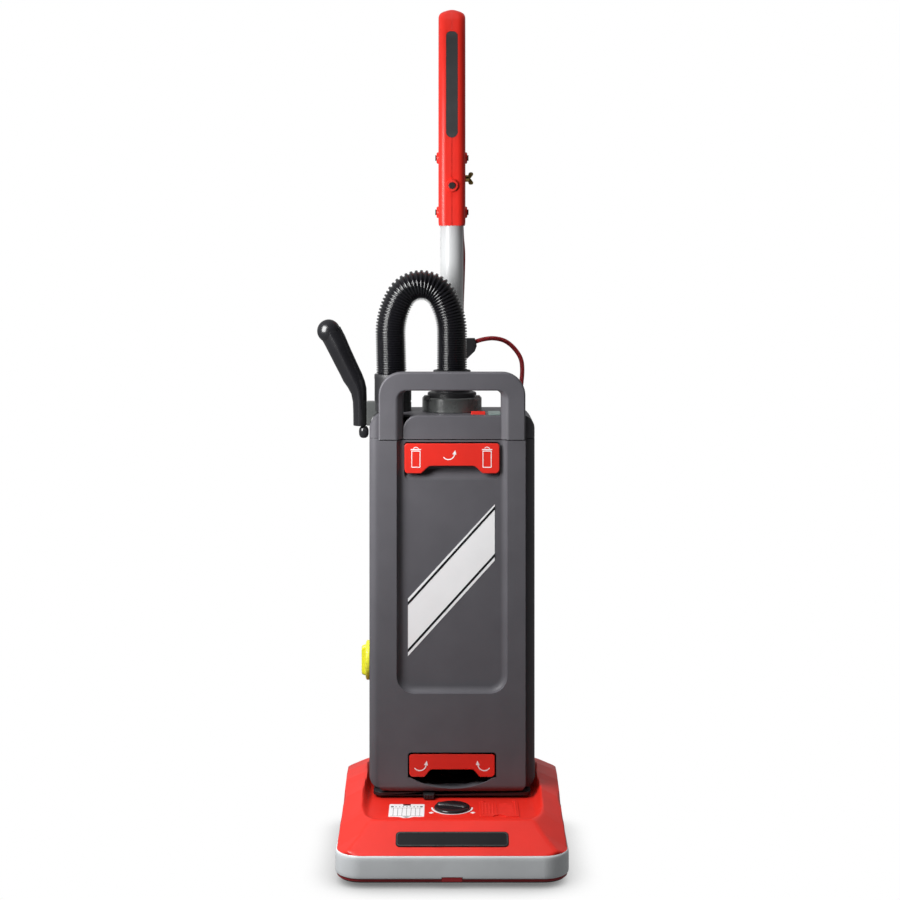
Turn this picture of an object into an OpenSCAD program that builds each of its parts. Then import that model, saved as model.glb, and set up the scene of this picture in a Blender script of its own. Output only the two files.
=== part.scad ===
// Upright vacuum cleaner with a wide floor head, a tall bag housing, a carry
// loop, a lift-out hose wand and a long handle.
// Millimetres. The origin is on the floor, on the centre line, below the front
// plane of the bag housing. +Z is up, the front faces -Y.

/* [Floor head] */
// Width of the floor head over its bumper
head_w = 328; // [322:1:330]
// Distance from the housing's front plane forward to the bumper's front
head_front = 150; // [148:1:154]
// Distance from the housing's front plane back to the ends of the head's arms
head_back = 150; // [149:1:153]
// Height of the control deck above the floor
deck_z = 80; // [80:0.5:81]
// Height of the wings beside the housing
wing_z = 112; // [110:1:113]
// Radius of the brush over its bristles
bristle_r = 26; // [24:0.5:26]
// Radius of the rear wheels
wheel_r = 26; // [25:0.5:26]
// Radius of the two front rollers
roller_r = 12; // [11:0.5:12]

/* [Bag housing] */
// Width of the rear housing
body_w = 246; // [244:1:246]
// Depth from the front frame to the back wall
body_d = 150; // [148:1:150]
// Width of the front door and of the carry loop
front_w = 216; // [212:1:218]
// Height of the housing's underside
body_z0 = 88; // [88:0.2:89]
// Height of the seam between the door and the top cap
seam_z = 607; // [600:1:612]
// Height of the top deck
top_z = 642; // [640:1:646]
// Height of the carry loop's top
loop_z = 706; // [700:1:712]
// Wall thickness of the moulded shells
wall = 3; // [2.6:0.2:3.2]

/* [Handle, hose and wand] */
// Radius of the handle tube
tube_r = 18; // [17.5:0.1:18.2]
// Height of the grip's top
grip_z1 = 1263; // [1250:1:1270]
// Outer radius of the hose over its ribs
hose_r = 23; // [22:0.1:23]
// Centre radius of the hose's top bend
bend_r = 45.5; // [44.5:0.5:46]
// Height of the bend's centre
bend_z = 787; // [780:1:795]
// Radius of the power cord
cord_r = 3.15; // [2.8:0.05:3.3]

/* [Hidden] */
$fn = 64;
gap = 0.2;
run = 0.05;

// Floor head
cover_z = 46;
cover_wall = 4;
deck_front = -98;
deck_end = 62;
arm_x = 126;
cover_x = 124.3;
brush_y = -100;
brush_z = bristle_r + 1;
core_r = 17;
pulley_r = 14;
motor_y = 0;
motor_z = 46;
motor_pulley_r = 7;
belt_x0 = 102;
belt_x1 = 110;
carriage_y = -24;
carriage_z = 16;
roller_y = -50;
knob_y = -42;
post_y = -51;
wheel_x = 142;
wheel_y = 118;
pedal_x = -140;
pedal_y = 130;
pedal_z = 70;

// Neck
pivot_y = 100;
pivot_z = 52;
barrel_r = 28;
axle_r = 8;
spigot_r = 20;

// Housing
step_y = 22;
shell_y0 = step_y + 0.4;
door_pivot_y = 11;
door_pivot_z = body_z0 + 11;
recess_d = 9;
recess_z0 = 236;
frame_x = 81.5;
floor_x = 71;
collar_y = 85;
wand_x = -91;
wand_y = 90;
lock_x = -134;
cuff_y = 86;
fan_x = 62;
fan_y = 86;
port_y = 85;
port_z = 264;
latch_pin_y = 13;
latch_pin_z = 596;
lower_pin_y = 14;
lower_pin_z = 138;
tube_y = 170;
tube_z0 = 212;
tube_z1 = 1100;
grip_z0 = 924;
grip_half_w = 20.5;
insert_z0 = 1061;
insert_z1 = 1227;
hook_z = 880;
wing_screw_z = 998;
cord_x = 109;
cord_wall_z = 574;

// ---- helpers ----
module box(x0, x1, y0, y1, z0, z1) {
    translate([x0, y0, z0]) cube([x1 - x0, y1 - y0, z1 - z0]);
}
module rod_x(x0, x1, y, z, r) {
    translate([x0, y, z]) rotate([0, 90, 0]) cylinder(h = x1 - x0, r = r);
}
module rod_y(y0, y1, x, z, r) {
    translate([x, y0, z]) rotate([-90, 0, 0]) cylinder(h = y1 - y0, r = r);
}
module rod_z(z0, z1, x, y, r) {
    translate([x, y, z0]) cylinder(h = z1 - z0, r = r);
}
module both_sides() {
    children();
    mirror([1, 0, 0]) children();
}
// An outline drawn in Y and Z, extruded along X
module along_x(x0, x1) {
    translate([x0, 0, 0]) rotate([90, 0, 90]) linear_extrude(height = x1 - x0) children();
}
// An outline drawn in X and Z, extruded along Y
module along_y(y0, y1) {
    translate([0, y1, 0]) rotate([90, 0, 0]) linear_extrude(height = y1 - y0) children();
}
// A rectangle with one radius at its low corners and one at its high corners
module rounded(x0, x1, y0, y1, r_low, r_high) {
    translate([x0, y0 + r_low]) square([x1 - x0, y1 - y0 - r_low - r_high]);
    translate([x0 + r_low, y0]) square([x1 - x0 - 2 * r_low, y1 - y0 - r_high]);
    translate([x0 + r_high, y0 + r_low]) square([x1 - x0 - 2 * r_high, y1 - y0 - r_low]);
    for (x = [x0 + r_low, x1 - r_low]) translate([x, y0 + r_low]) circle(r_low);
    for (x = [x0 + r_high, x1 - r_high]) translate([x, y1 - r_high]) circle(r_high);
}

// ---- floor head ----
module head_plan(inset) {
    rounded(-head_w / 2 + inset, head_w / 2 - inset, -head_front + inset, head_back - inset,
        38 - inset, 12 - inset);
}
// The gap between the head's rear arms, where the neck and the housing swing
module rear_gap(x, y0) {
    box(-x, x, y0, head_back + 20, 0, 200);
}
module head_side(inset) {
    drop = inset * 1.25;
    polygon([[-head_front - 2, cover_z - 10 - drop], [-head_front - 2, cover_z - 2.7 - drop],
        [deck_front, deck_z - drop], [-20, deck_z + 7 - drop], [75, wing_z - drop],
        [122, wing_z - 6 - drop], [head_back + 2, wing_z - 18 - drop],
        [head_back + 2, cover_z - 10 - drop]]);
}
module head_section(inset) {
    out = head_w / 2 - 2 - inset;
    x_in = cover_x + inset;
    floor_z = deck_z - inset;
    low = cover_z - 20 - inset;
    polygon([[-out, low], [-out, wing_z - 14 - inset], [-141, wing_z + 1 - inset],
        [-x_in, floor_z + 3], [-x_in, floor_z], [x_in, floor_z],
        [x_in, floor_z + 3], [141, wing_z + 1 - inset], [out, wing_z - 14 - inset],
        [out, low]]);
}
module head_form(inset) {
    intersection() {
        linear_extrude(height = 200) head_plan(inset + 2);
        along_x(-head_w, head_w) head_side(inset);
        along_y(-head_front - 10, head_back + 10) head_section(inset);
    }
}
module head_cover() {
    color("red") difference() {
        head_form(0);
        head_form(cover_wall);
        box(-head_w, head_w, -head_front - 10, head_back + 10, 0, cover_z);
        rear_gap(cover_x, deck_end);
        // recessed control floor
        translate([0, 0, deck_z - 2]) linear_extrude(height = 90)
            rounded(-121, 121, -91, 80, 12, 2);
        rod_z(50, 100, 0, knob_y, 7.3);
        // slot for the pedal
        box(pedal_x - 10, pedal_x + 10, head_back - 12, head_back + 5, 60, 86);
        wheel_well(1);
        wheel_well(-1);
    }
}
module wheel_well(side) {
    x = side * wheel_x;
    rod_x(x - 10, x + 10, wheel_y, wheel_r, wheel_r + 2);
}
module bumper_band() {
    color("silver") difference() {
        translate([0, 0, 14]) linear_extrude(height = cover_z - gap - 14) difference() {
            head_plan(0);
            head_plan(5);
        }
        rear_gap(arm_x + 4, deck_end);
        box(-14.7, 14.7, -head_front - 1, -head_front + 6, 10, 17.2);
    }
}
module lower_rim() {
    color("darkred") difference() {
        union() {
            translate([0, 0, 10]) linear_extrude(height = 3.8) difference() {
                head_plan(2);
                head_plan(5);
            }
            box(-14.5, 14.5, -head_front + 0.5, -head_front + 4.8, 10, 17);
        }
        rear_gap(arm_x + 4, deck_end);
    }
}
module pivot_wall() {
    difference() {
        union() {
            box(arm_x + 0.5, arm_x + 3.5, deck_end + 1, head_back - 8, 8, 75.5);
            rod_x(arm_x - 3, arm_x + 3.5, pivot_y, pivot_z, 15);
        }
        rod_x(arm_x - 4, arm_x + 4, pivot_y, pivot_z, axle_r + run);
        rod_x(arm_x, arm_x + 4, wheel_y, wheel_r, 4.02);
    }
}
module carriage_lug(x) {
    difference() {
        box(x, x + 3, carriage_y - 5, carriage_y + 5, 9, carriage_z + 5);
        rod_x(x - 1, x + 4, carriage_y, carriage_z, 3 + run);
    }
}
module chassis() {
    color("dimgray") {
        difference() {
            union() {
                translate([0, 0, 8]) linear_extrude(height = 3) head_plan(5.2);
                translate([0, 0, 8]) linear_extrude(height = 37) difference() {
                    head_plan(5.2);
                    head_plan(8.2);
                }
            }
            rear_gap(arm_x + 0.5, deck_end + 8);
            // brush window
            box(-126, 126, -128, -72, 0, 12);
            // openings for the rollers and for the lift post
            both_sides() box(63, 96.5, -65, -18, 0, 12);
            box(-6, 6, -60, -18, 0, 12);
            // openings for the wheels
            both_sides() {
                box(wheel_x - 10, wheel_x + 9.5, 88, 147, 0, 12);
                rod_x(wheel_x - 10, wheel_x + 9.5, wheel_y, wheel_r, wheel_r + 1);
            }
        }
        difference() {
            union() {
                pivot_wall();
                mirror([1, 0, 0]) pivot_wall();
                // seat of the pedal's spring
                box(pedal_x - 8, -arm_x - 3, 136, head_back - 6, 54, 57);
            }
            rod_x(-arm_x - 4, -arm_x, pedal_y, pedal_z, 2.52);
        }
        carriage_lug(97);
        mirror([1, 0, 0]) carriage_lug(97);
        // cradle under the brush motor
        difference() {
            both_sides() box(20, 28, -20, 20, 11, 40);
            box(-60, 0, -30, 30, 5, 60);
            rod_x(0, 100, motor_y, motor_z, 26 + gap);
        }
        difference() {
            box(80, 88, -20, 20, 11, 40);
            rod_x(0, 100, motor_y, motor_z, 26 + gap);
        }
    }
}
module brush_chamber() {
    color("dimgray") difference() {
        union() {
            rod_x(-129, 129, brush_y, brush_z, 31);
            box(-66, -18, -94, 80, 24, 60);
        }
        rod_x(-126, 126, brush_y, brush_z, 29);
        box(-64, -20, -90, 90, 26, 54);
        rod_x(-70, 70, pivot_y, pivot_z, barrel_r + 0.3);
        box(-130, 130, -140, -66, -10, 11 + gap);
        // slot for the belt
        box(belt_x0 - 3, belt_x1 + 3, -90, -60, 10, 60);
    }
}
module brush_end_blocks() {
    color("gray") both_sides() {
        rod_x(122.3, 125.8, brush_y, brush_z, 13);
        rod_x(112, 123, brush_y, brush_z, 4);
    }
}
module brush_core() {
    color("black") difference() {
        union() {
            rod_x(-122, belt_x0 - 4, brush_y, brush_z, core_r);
            rod_x(belt_x0 - 5, belt_x1 + 5, brush_y, brush_z, pulley_r);
            rod_x(belt_x1 + 4, 122, brush_y, brush_z, core_r);
        }
        both_sides() rod_x(111, 130, brush_y, brush_z, 4 + run);
    }
}
module bristle_strips() {
    count = 6;
    color("whitesmoke") for (i = [0 : count - 1])
        translate([0, brush_y, brush_z]) rotate([i * 360 / count, 0, 0])
            box(-118, belt_x0 - 8, -1.5, 1.5, core_r + 0.02, bristle_r);
}
// Belt loop around two pulleys
module belt_outline(grow) {
    hull() {
        translate([brush_y, brush_z]) circle(pulley_r + grow);
        translate([motor_y, motor_z]) circle(motor_pulley_r + grow);
    }
}
module drive_belt() {
    color("black") along_x(belt_x0, belt_x1) difference() {
        belt_outline(2);
        belt_outline(run);
    }
}
module brush_motor() {
    color("silver") difference() {
        rod_x(10, 97, motor_y, motor_z, 26);
        rod_x(13, 94, motor_y, motor_z, 23);
        rod_x(0, 110, motor_y, motor_z, 4 + run);
    }
}
module brush_rotor() {
    color("gray") {
        rod_x(6, 114, motor_y, motor_z, 4);
        rod_x(22, 84, motor_y, motor_z, 17);
        rod_x(belt_x0 - 1, belt_x1 + 1, motor_y, motor_z, motor_pulley_r);
        rod_x(belt_x1 + 1, belt_x1 + 3, motor_y, motor_z, 10);
    }
}
module roller_carriage() {
    color("dimgray") difference() {
        union() {
            rod_x(-99.5, 99.5, carriage_y, carriage_z, 3);
            rod_x(-96.5, 96.5, carriage_y, carriage_z, 4);
            both_sides() {
                box(65, 69, roller_y - 5, carriage_y, 8, 19);
                box(91, 95, roller_y - 5, carriage_y, 8, 19);
            }
            box(-4, 4, post_y - 4, carriage_y, 12.5, 18.5);
            rod_z(18, 29.8, 0, post_y, 3);
        }
        both_sides() rod_x(60, 100, roller_y, roller_r, 3 + run);
    }
}
module front_rollers() {
    color("black") both_sides() {
        rod_x(69.5, 90.5, roller_y, roller_r, roller_r);
        rod_x(64, 96, roller_y, roller_r, 3);
    }
}
module rear_wheel(side) {
    color("black") difference() {
        rod_x(side * wheel_x - 8, side * wheel_x + 8, wheel_y, wheel_r, wheel_r);
        rod_x(side * wheel_x - 9, side * wheel_x + 9, wheel_y, wheel_r, 4 + run);
        rod_x(side * (wheel_x + 8) - 3, side * (wheel_x + 8) + 3, wheel_y, wheel_r, wheel_r - 8);
    }
}
module rear_wheel_left() {
    rear_wheel(-1);
}
module rear_wheel_right() {
    rear_wheel(1);
}
module head_pins() {
    color("silver") {
        both_sides() rod_x(arm_x + 0.6, 153, wheel_y, wheel_r, 4);
        rod_x(-152, -arm_x - 0.6, pedal_y, pedal_z, 2.5);
    }
}
module release_pedal() {
    color("black") difference() {
        union() {
            rod_x(pedal_x - 7, pedal_x + 7, pedal_y, pedal_z, 6);
            box(pedal_x - 7, pedal_x + 7, 114, head_back + 4, 73, 78);
            translate([0, 0, 73]) linear_extrude(height = 6)
                rounded(pedal_x - 14, pedal_x + 14, head_back + 2, head_back + 36, 3, 10);
            for (i = [0 : 3]) box(pedal_x - 10, pedal_x + 10, head_back + 8 + 6 * i,
                head_back + 10.5 + 6 * i, 78, 80.5);
        }
        rod_x(pedal_x - 8, pedal_x + 8, pedal_y, pedal_z, 2.5 + run);
    }
}
// Point along a coil that climbs from z0 to z1
function coil_point(t, turns, r, z0, z1) =
    [r * cos(360 * turns * t), r * sin(360 * turns * t), z0 + (z1 - z0) * t];
module pedal_spring() {
    steps = 36;
    turns = 4;
    color("silver") translate([pedal_x, 140, 0]) for (i = [0 : steps - 1]) hull() {
        translate(coil_point(i / steps, turns, 3, 57.9, 72.2)) sphere(r = 0.6, $fn = 6);
        translate(coil_point((i + 1) / steps, turns, 3, 57.9, 72.2)) sphere(r = 0.6, $fn = 6);
    }
}
// The knob turns a stepped cam that presses the carriage's post down
function cam_drop(k) = (carriage_y - post_y) * sin((45 * k - 40) / 15) - 0.03;
module height_knob() {
    color("black") translate([0, knob_y, 0]) {
        translate([0, 0, deck_z - 1.2]) cylinder(h = 4.4, r = 26);
        rotate([0, 0, -20]) box(-22, 22, -3, 3, deck_z + 3, deck_z + 6);
        translate([0, 0, 38]) cylinder(h = deck_z - 38, r = 7);
        translate([0, 0, 30]) cylinder(h = 9, r = 13);
        for (k = [2 : 4]) translate([0, 0, 30.5 - cam_drop(k) - 0.5])
            rotate([0, 0, 252 - 45 * k]) rotate_extrude(angle = 36)
                translate([6, 0]) square([6, cam_drop(k) + 0.5]);
    }
}
module deck_labels() {
    knob_scale();
    setting_chart();
}
module knob_scale() {
    color("white") translate([0, knob_y, deck_z - 2 + 0.05]) linear_extrude(height = 0.5)
        difference() {
            circle(33);
            circle(27);
            translate([-40, -6]) square([80, 60]);
        }
}
module setting_chart() {
    color("white") translate([0, 0, deck_z - 2 + 0.05]) linear_extrude(height = 0.5) {
        rounded(-91, -40, -79, -22, 2, 2);
        polygon([[-77, -78], [-71, -84], [-60, -84], [-54, -78]]);
    }
}
module service_cover() {
    color("red") translate([0, 0, deck_z - 2 + 0.05]) {
        linear_extrude(height = 1.2) difference() {
            rounded(40, 96, -80, -8, 3, 3);
            translate([68, -81]) circle(9);
        }
        for (x = [44, 70], i = [0 : 6])
            box(x, x + 22, -66 + 7 * i, -63 + 7 * i, 1.1, 1.8);
    }
}
module name_plate() {
    rise = deck_z - cover_z;
    reach = deck_front + head_front - 2;
    lean = atan2(rise, reach);
    color("black") translate([0, -head_front + 2 + reach / 2, cover_z + rise / 2])
        rotate([lean, 0, 0]) translate([0, 0, 0.1]) linear_extrude(height = 1.2)
            rounded(-79, 79, -12.5, 12.5, 6, 6);
}

// ---- neck ----
module yoke_plate() {
    color("dimgray") difference() {
        union() {
            translate([0, 0, 82]) linear_extrude(height = 5.4)
                rounded(-116, 116, 6, 146, 12, 14);
            both_sides() {
                box(112, 116, pivot_y - 14, pivot_y + 14, pivot_z, 84);
                rod_x(112, 116, pivot_y, pivot_z, 14);
            }
            // ribbed end of the power connector
            box(-42, -26, -3, 8, 80, 86.5);
            for (i = [0 : 3]) box(-41 + 4 * i, -39 + 4 * i, -4.5, -2, 80, 86.5);
        }
        rod_z(80, 90, 0, pivot_y, spigot_r + run);
        both_sides() rod_x(110, 118, pivot_y, pivot_z, axle_r + 0.02);
    }
}
module swivel_barrel() {
    color("dimgray") difference() {
        union() {
            rod_x(-68, 68, pivot_y, pivot_z, barrel_r);
            rod_z(pivot_z, 130, 0, pivot_y, spigot_r);
        }
        rod_x(-54, 54, pivot_y, pivot_z, barrel_r - 4);
        rod_z(pivot_z, 140, 0, pivot_y, spigot_r - 3);
        both_sides() rod_x(56, 70, pivot_y, pivot_z, axle_r + 0.02);
        box(-62, -22, pivot_y - 40, pivot_y - 10, 32, 56);
    }
}
module pivot_axles() {
    color("silver") both_sides() rod_x(56.5, arm_x + 3.5, pivot_y, pivot_z, axle_r);
}

// ---- bag housing ----
module body_plan(inset) {
    rounded(-body_w / 2 + inset, body_w / 2 - inset, shell_y0 + inset, body_d - inset,
        12 - inset, 34 - inset);
}
module housing_form(inset) {
    intersection() {
        linear_extrude(height = seam_z - 0.4) body_plan(inset);
        along_y(0, body_d + 10) rounded(-body_w / 2 + inset, body_w / 2 - inset,
            body_z0 + inset, seam_z + 50, 18 - inset, 2);
    }
}
module hinge_lug() {
    difference() {
        union() {
            rod_x(94.5, 99.5, door_pivot_y, door_pivot_z, 7);
            box(94.5, 99.5, door_pivot_y, shell_y0 + 1, door_pivot_z - 5, door_pivot_z + 5);
        }
        rod_x(90, 102, door_pivot_y, door_pivot_z, 2.5 + run);
    }
}
module rear_housing() {
    color("dimgray") {
        difference() {
            housing_form(0);
            housing_form(wall);
            // the inner space stays open at the top
            translate([0, 0, seam_z - 20]) linear_extrude(height = 40) body_plan(wall);
            // bag window and air gap behind the lower latch
            box(-99, 99, 0, shell_y0 + 5, 232, 598);
            // spigot, clean-out port and exhaust window
            rod_z(80, 100, 0, pivot_y, spigot_r + run);
            rod_x(-140, -110, port_y, port_z, 24 + run);
            // hand hole behind the disconnect latch
            box(-54, 54, 0, shell_y0 + 5, 95, 130);
            box(-56, 56, body_d - 10, body_d + 5, 104, 188);
            // grommet hole of the power cord
            rod_y(130, body_d, cord_x, cord_wall_z, cord_r + run);
        }
        // socket for the neck's spigot
        difference() {
            rod_z(body_z0 + 1, 135, 0, pivot_y, spigot_r + 4);
            rod_z(80, 140, 0, pivot_y, spigot_r + run);
        }
        // shelf between the motor and the bag
        difference() {
            translate([0, 0, 222]) linear_extrude(height = 3) body_plan(wall - 1);
            rod_z(220, 230, wand_x, wand_y, 21.3);
            rod_z(220, 230, fan_x, fan_y, 22);
        }
        // clean-out port
        difference() {
            rod_x(-123.6, -112, port_y, port_z, 30);
            rod_x(-140, -110, port_y, port_z, 24 + run);
        }
        hinge_lug();
        mirror([1, 0, 0]) hinge_lug();
        // lugs of the lower latch
        both_sides() difference() {
            box(58, 61, lower_pin_y - 5, shell_y0 + 1, lower_pin_z - 5, lower_pin_z + 5);
            rod_x(56, 63, lower_pin_y, lower_pin_z, 2 + run);
        }
    }
}
module cap_outline(inset, top) {
    rounded(-body_w / 2 + inset, body_w / 2 - inset, seam_z - 30, top, 2, 22);
}
module loop_outline() {
    difference() {
        rounded(-front_w / 2, front_w / 2, seam_z, loop_z, 1, 34);
        rounded(-76, 76, top_z, 679, 1, 10);
    }
}
module frame_recess(z0, z1) {
    translate([0, 0, z0]) linear_extrude(height = z1 - z0)
        polygon([[-frame_x - 1, -1], [-floor_x, recess_d], [floor_x, recess_d],
            [frame_x + 1, -1]]);
}
module top_cap() {
    color("dimgray") difference() {
        union() {
            intersection() {
                translate([0, 0, seam_z]) linear_extrude(height = 60) body_plan(0);
                along_y(0, body_d + 10) cap_outline(0, top_z);
            }
            along_y(0, shell_y0 + 14) intersection() {
                rounded(-front_w / 2, front_w / 2, seam_z, top_z, 1, 14);
                translate([-200, seam_z]) square([400, 100]);
            }
            along_y(0, step_y) loop_outline();
            rod_z(seam_z, top_z, wand_x, wand_y, 22.5);
        }
        difference() {
            intersection() {
                union() {
                    translate([0, 0, 500]) linear_extrude(height = 200) body_plan(wall);
                    box(-front_w / 2 + wall, front_w / 2 - wall, recess_d + wall, 50, 500, 800);
                }
                along_y(0, body_d + 10) cap_outline(wall, top_z - wall);
            }
            rod_z(seam_z, top_z, wand_x, wand_y, 22.5);
        }
        frame_recess(seam_z - 1, top_z);
        rod_z(seam_z - 1, top_z + 1, wand_x, wand_y, 19.1);
        rod_z(seam_z, top_z + 1, 0, collar_y, 24);
        // rocker opening with its two trunnion bores
        box(28, 50, 23, 51, top_z - 6, top_z + 1);
        rod_x(25.5, 52.5, 37, top_z - 1.6, 1.2 + run);
    }
}
module door_side() {
    translate([0, door_pivot_z]) square([step_y, seam_z - 0.4 - door_pivot_z]);
    translate([door_pivot_y, door_pivot_z]) circle(door_pivot_y);
}
module smile() {
    // hand hole below the lower latch
    intersection() {
        translate([0, body_z0 + 6 + 125]) circle(125, $fn = 128);
        translate([-65, body_z0 + 2]) square([130, 25]);
    }
    translate([-65, 110]) square([130, 39]);
}
module front_door() {
    color("dimgray") difference() {
        intersection() {
            along_x(-front_w / 2, front_w / 2) door_side();
            along_y(-1, step_y + 1) rounded(-front_w / 2, front_w / 2, body_z0, seam_z, 14, 1);
        }
        // hollow back
        difference() {
            box(-front_w / 2 + wall, front_w / 2 - wall, wall, 40, door_pivot_z, seam_z - wall - 1);
            box(-floor_x - 8, floor_x + 8, 0, recess_d + wall, recess_z0 - 8, seam_z);
            // pocket floor behind the door latch
            box(-75, 75, 0, 21, 548, seam_z);
        }
        // recessed panel with bevelled sides and foot
        intersection() {
            frame_recess(recess_z0, seam_z + 10);
            along_x(-100, 100) polygon([[-1, recess_z0], [recess_d, recess_z0 + 10],
                [recess_d + 2, seam_z + 20], [-1, seam_z + 20]]);
        }
        // pocket of the door latch
        box(-70.6, 70.6, -1, 19, 555, 603);
        rod_x(-74.5, 74.5, latch_pin_y, latch_pin_z, 2.02);
        along_y(-5, step_y + 5) smile();
        both_sides() {
            rod_x(88, front_w / 2 - 1, door_pivot_y, door_pivot_z, 2.52);
            box(93.5, 100.5, 4, 30, body_z0 - 5, door_pivot_z + 9);
        }
    }
}
module door_seal() {
    color("black") along_y(21.1, 22.3) difference() {
        rounded(-104, 104, 227, 602, 4, 4);
        rounded(-100.5, 100.5, 230.5, 598.5, 3, 3);
    }
}
module door_label() {
    color("white") along_y(recess_d - 0.45, recess_d - 0.05)
        polygon([[-65, 287], [63, 428], [63, 511], [-65, 372]]);
}
module door_pins() {
    color("silver") {
        both_sides() rod_x(89, front_w / 2 - 1.2, door_pivot_y, door_pivot_z, 2.5);
        rod_x(-74.4, 74.4, latch_pin_y, latch_pin_z, 2);
    }
}
module latch_outline(half_w, z0, z1, cut_half, cut_z) {
    difference() {
        rounded(-half_w, half_w, z0, z1, 6, 4);
        polygon([[-cut_half - 7, z0 - 1], [-cut_half, cut_z], [cut_half, cut_z],
            [cut_half + 7, z0 - 1]]);
    }
}
module door_latch() {
    color("red") difference() {
        union() {
            along_y(4, 9) latch_outline(70, 557, 601, 35, 568);
            rod_x(-69, 69, latch_pin_y, latch_pin_z, 4);
            box(-69, 69, 8, latch_pin_y, latch_pin_z - 3, latch_pin_z + 4);
        }
        rod_x(-75, 75, latch_pin_y, latch_pin_z, 2 + run);
    }
}
module disconnect_latch() {
    color("red") {
        along_y(1, 6) latch_outline(63, 111, 144.5, 29.5, 122);
        rod_x(-57.5, 57.5, lower_pin_y, lower_pin_z, 4);
        box(-57.5, 57.5, 5, lower_pin_y, lower_pin_z - 3, lower_pin_z + 4);
        rod_x(-61, 61, lower_pin_y, lower_pin_z, 2);
    }
}
module dust_bag() {
    color("beige") difference() {
        translate([0, 0, 236]) linear_extrude(height = 324) rounded(-62, 108, 32, 140, 18, 18);
        rod_z(540, 570, 0, collar_y, 24.5);
    }
}
module riser_pipe() {
    color("dimgray") difference() {
        union() {
            rod_z(160, seam_z - 1, wand_x, wand_y, 21);
            box(-115, 24, 68, 124, 135.3, 176);
        }
        rod_z(150, seam_z, wand_x, wand_y, 19.1);
        box(-113, 22, 70, 122, 137.3, 174);
        rod_z(130, 150, 0, pivot_y, spigot_r);
        rod_x(-120, -90, port_y, port_z, 14);
    }
}
module suction_motor() {
    color("silver") difference() {
        union() {
            rod_z(118, 200, fan_x, fan_y, 33);
            rod_z(118, 121, fan_x, fan_y, 38);
            for (a = [30, 150, 270]) translate([fan_x, fan_y, 91.2]) rotate([0, 0, a])
                translate([35.5, 0, 0]) cylinder(h = 28, r = 1.8);
        }
        rod_z(122, 197, fan_x, fan_y, 30);
        rod_z(110, 210, fan_x, fan_y, 4 + run);
    }
}
module fan_rotor() {
    color("gray") translate([fan_x, fan_y, 0]) {
        translate([0, 0, 98]) cylinder(h = 114, r = 4);
        translate([0, 0, 128]) cylinder(h = 62, r = 23);
        translate([0, 0, 101]) cylinder(h = 2.5, r = 33);
        for (a = [0 : 45 : 315]) rotate([0, 0, a]) box(3, 32, -0.8, 0.8, 103, 115);
    }
}
module motor_filter() {
    color("white") translate([0, 0, 225.2]) linear_extrude(height = 8)
        rounded(24, 110, 40, 134, 6, 6);
}
module exhaust_filter() {
    color("white") box(-52, 52, 128, body_d - wall - gap, 108, 184);
}
module exhaust_cover() {
    color("dimgray") difference() {
        box(-55.8, 55.8, body_d - 2.8, body_d + 2, 104.2, 187.8);
        for (i = [0 : 8]) box(-48, 48, body_d - 5, body_d + 5, 112 + 8 * i, 116 + 8 * i);
    }
}
module indicator_panel() {
    color("darkseagreen") translate([0, 0, top_z + 0.05]) linear_extrude(height = 1.5)
        rounded(54, 72, 14, 66, 2, 4);
}
module power_rocker() {
    color("red") {
        along_x(28.5, 49.5) polygon([[25, top_z - 3], [49, top_z - 3], [49, top_z + 0.6],
            [37, top_z + 1.6], [25, top_z + 5]]);
        rod_x(26, 52, 37, top_z - 1.6, 1.2);
    }
}
module cleanout_cap() {
    color("yellow") difference() {
        union() {
            rod_x(-130, -124, port_y, port_z, 29.5);
            rod_x(-137, -129, port_y, port_z, 22);
            rod_x(-125, -115, port_y, port_z, 24);
        }
        rod_x(-126, -110, port_y, port_z, 21);
        // finger pockets beside the grip bar
        box(-140, -131.5, port_y - 40, port_y - 5, port_z - 40, port_z + 40);
        box(-140, -131.5, port_y + 5, port_y + 40, port_z - 40, port_z + 40);
    }
}

// ---- hose, wand and handle ----
module hose_collar() {
    color("darkslategray") difference() {
        union() {
            rod_z(top_z + 0.05, top_z + 22, 0, collar_y, 45);
            rod_z(545, top_z + 1, 0, collar_y, 23.9);
        }
        rod_z(top_z + 3, top_z + 30, 0, collar_y, 41);
        rod_z(540, top_z + 30, 0, collar_y, 21);
    }
}
module hose_cuff() {
    color("black") difference() {
        union() {
            rod_z(top_z + 3.2, top_z + 29, 0, collar_y, 37);
            rod_z(top_z + 25, 704, 0, collar_y, 27);
        }
        rod_z(top_z, 710, 0, collar_y, 17.5);
        rod_z(690, 710, 0, collar_y, hose_r + 0.1);
    }
}
module hose_ring() {
    difference() {
        circle(hose_r);
        circle(hose_r - 3.5);
    }
}
module suction_hose() {
    color("black") {
        translate([0, collar_y, 690.1]) linear_extrude(height = bend_z - 690.1) hose_ring();
        translate([-2 * bend_r, collar_y, 672]) linear_extrude(height = bend_z - 672) hose_ring();
        translate([-bend_r, collar_y, bend_z]) rotate([90, 0, 0])
            rotate_extrude(angle = 180) translate([bend_r, 0]) hose_ring();
    }
}
module wand_tube() {
    color("black") difference() {
        union() {
            rod_z(500, 660, wand_x, wand_y, 19);
            rod_z(top_z + 0.3, 698, wand_x, cuff_y, 28);
        }
        rod_z(490, 710, wand_x, wand_y, 16.5);
        rod_z(670, 710, wand_x, collar_y, hose_r + 0.3);
    }
}
module grip_bracket() {
    color("gray") difference() {
        union() {
            box(-129.2, -123.6, wand_y - 12, wand_y + 12, 620, 656);
            box(-129.2, -110, wand_y - 12, wand_y + 12, top_z + 1, 656);
        }
        rod_z(600, 700, wand_x, cuff_y, 28 + run);
    }
}
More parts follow.
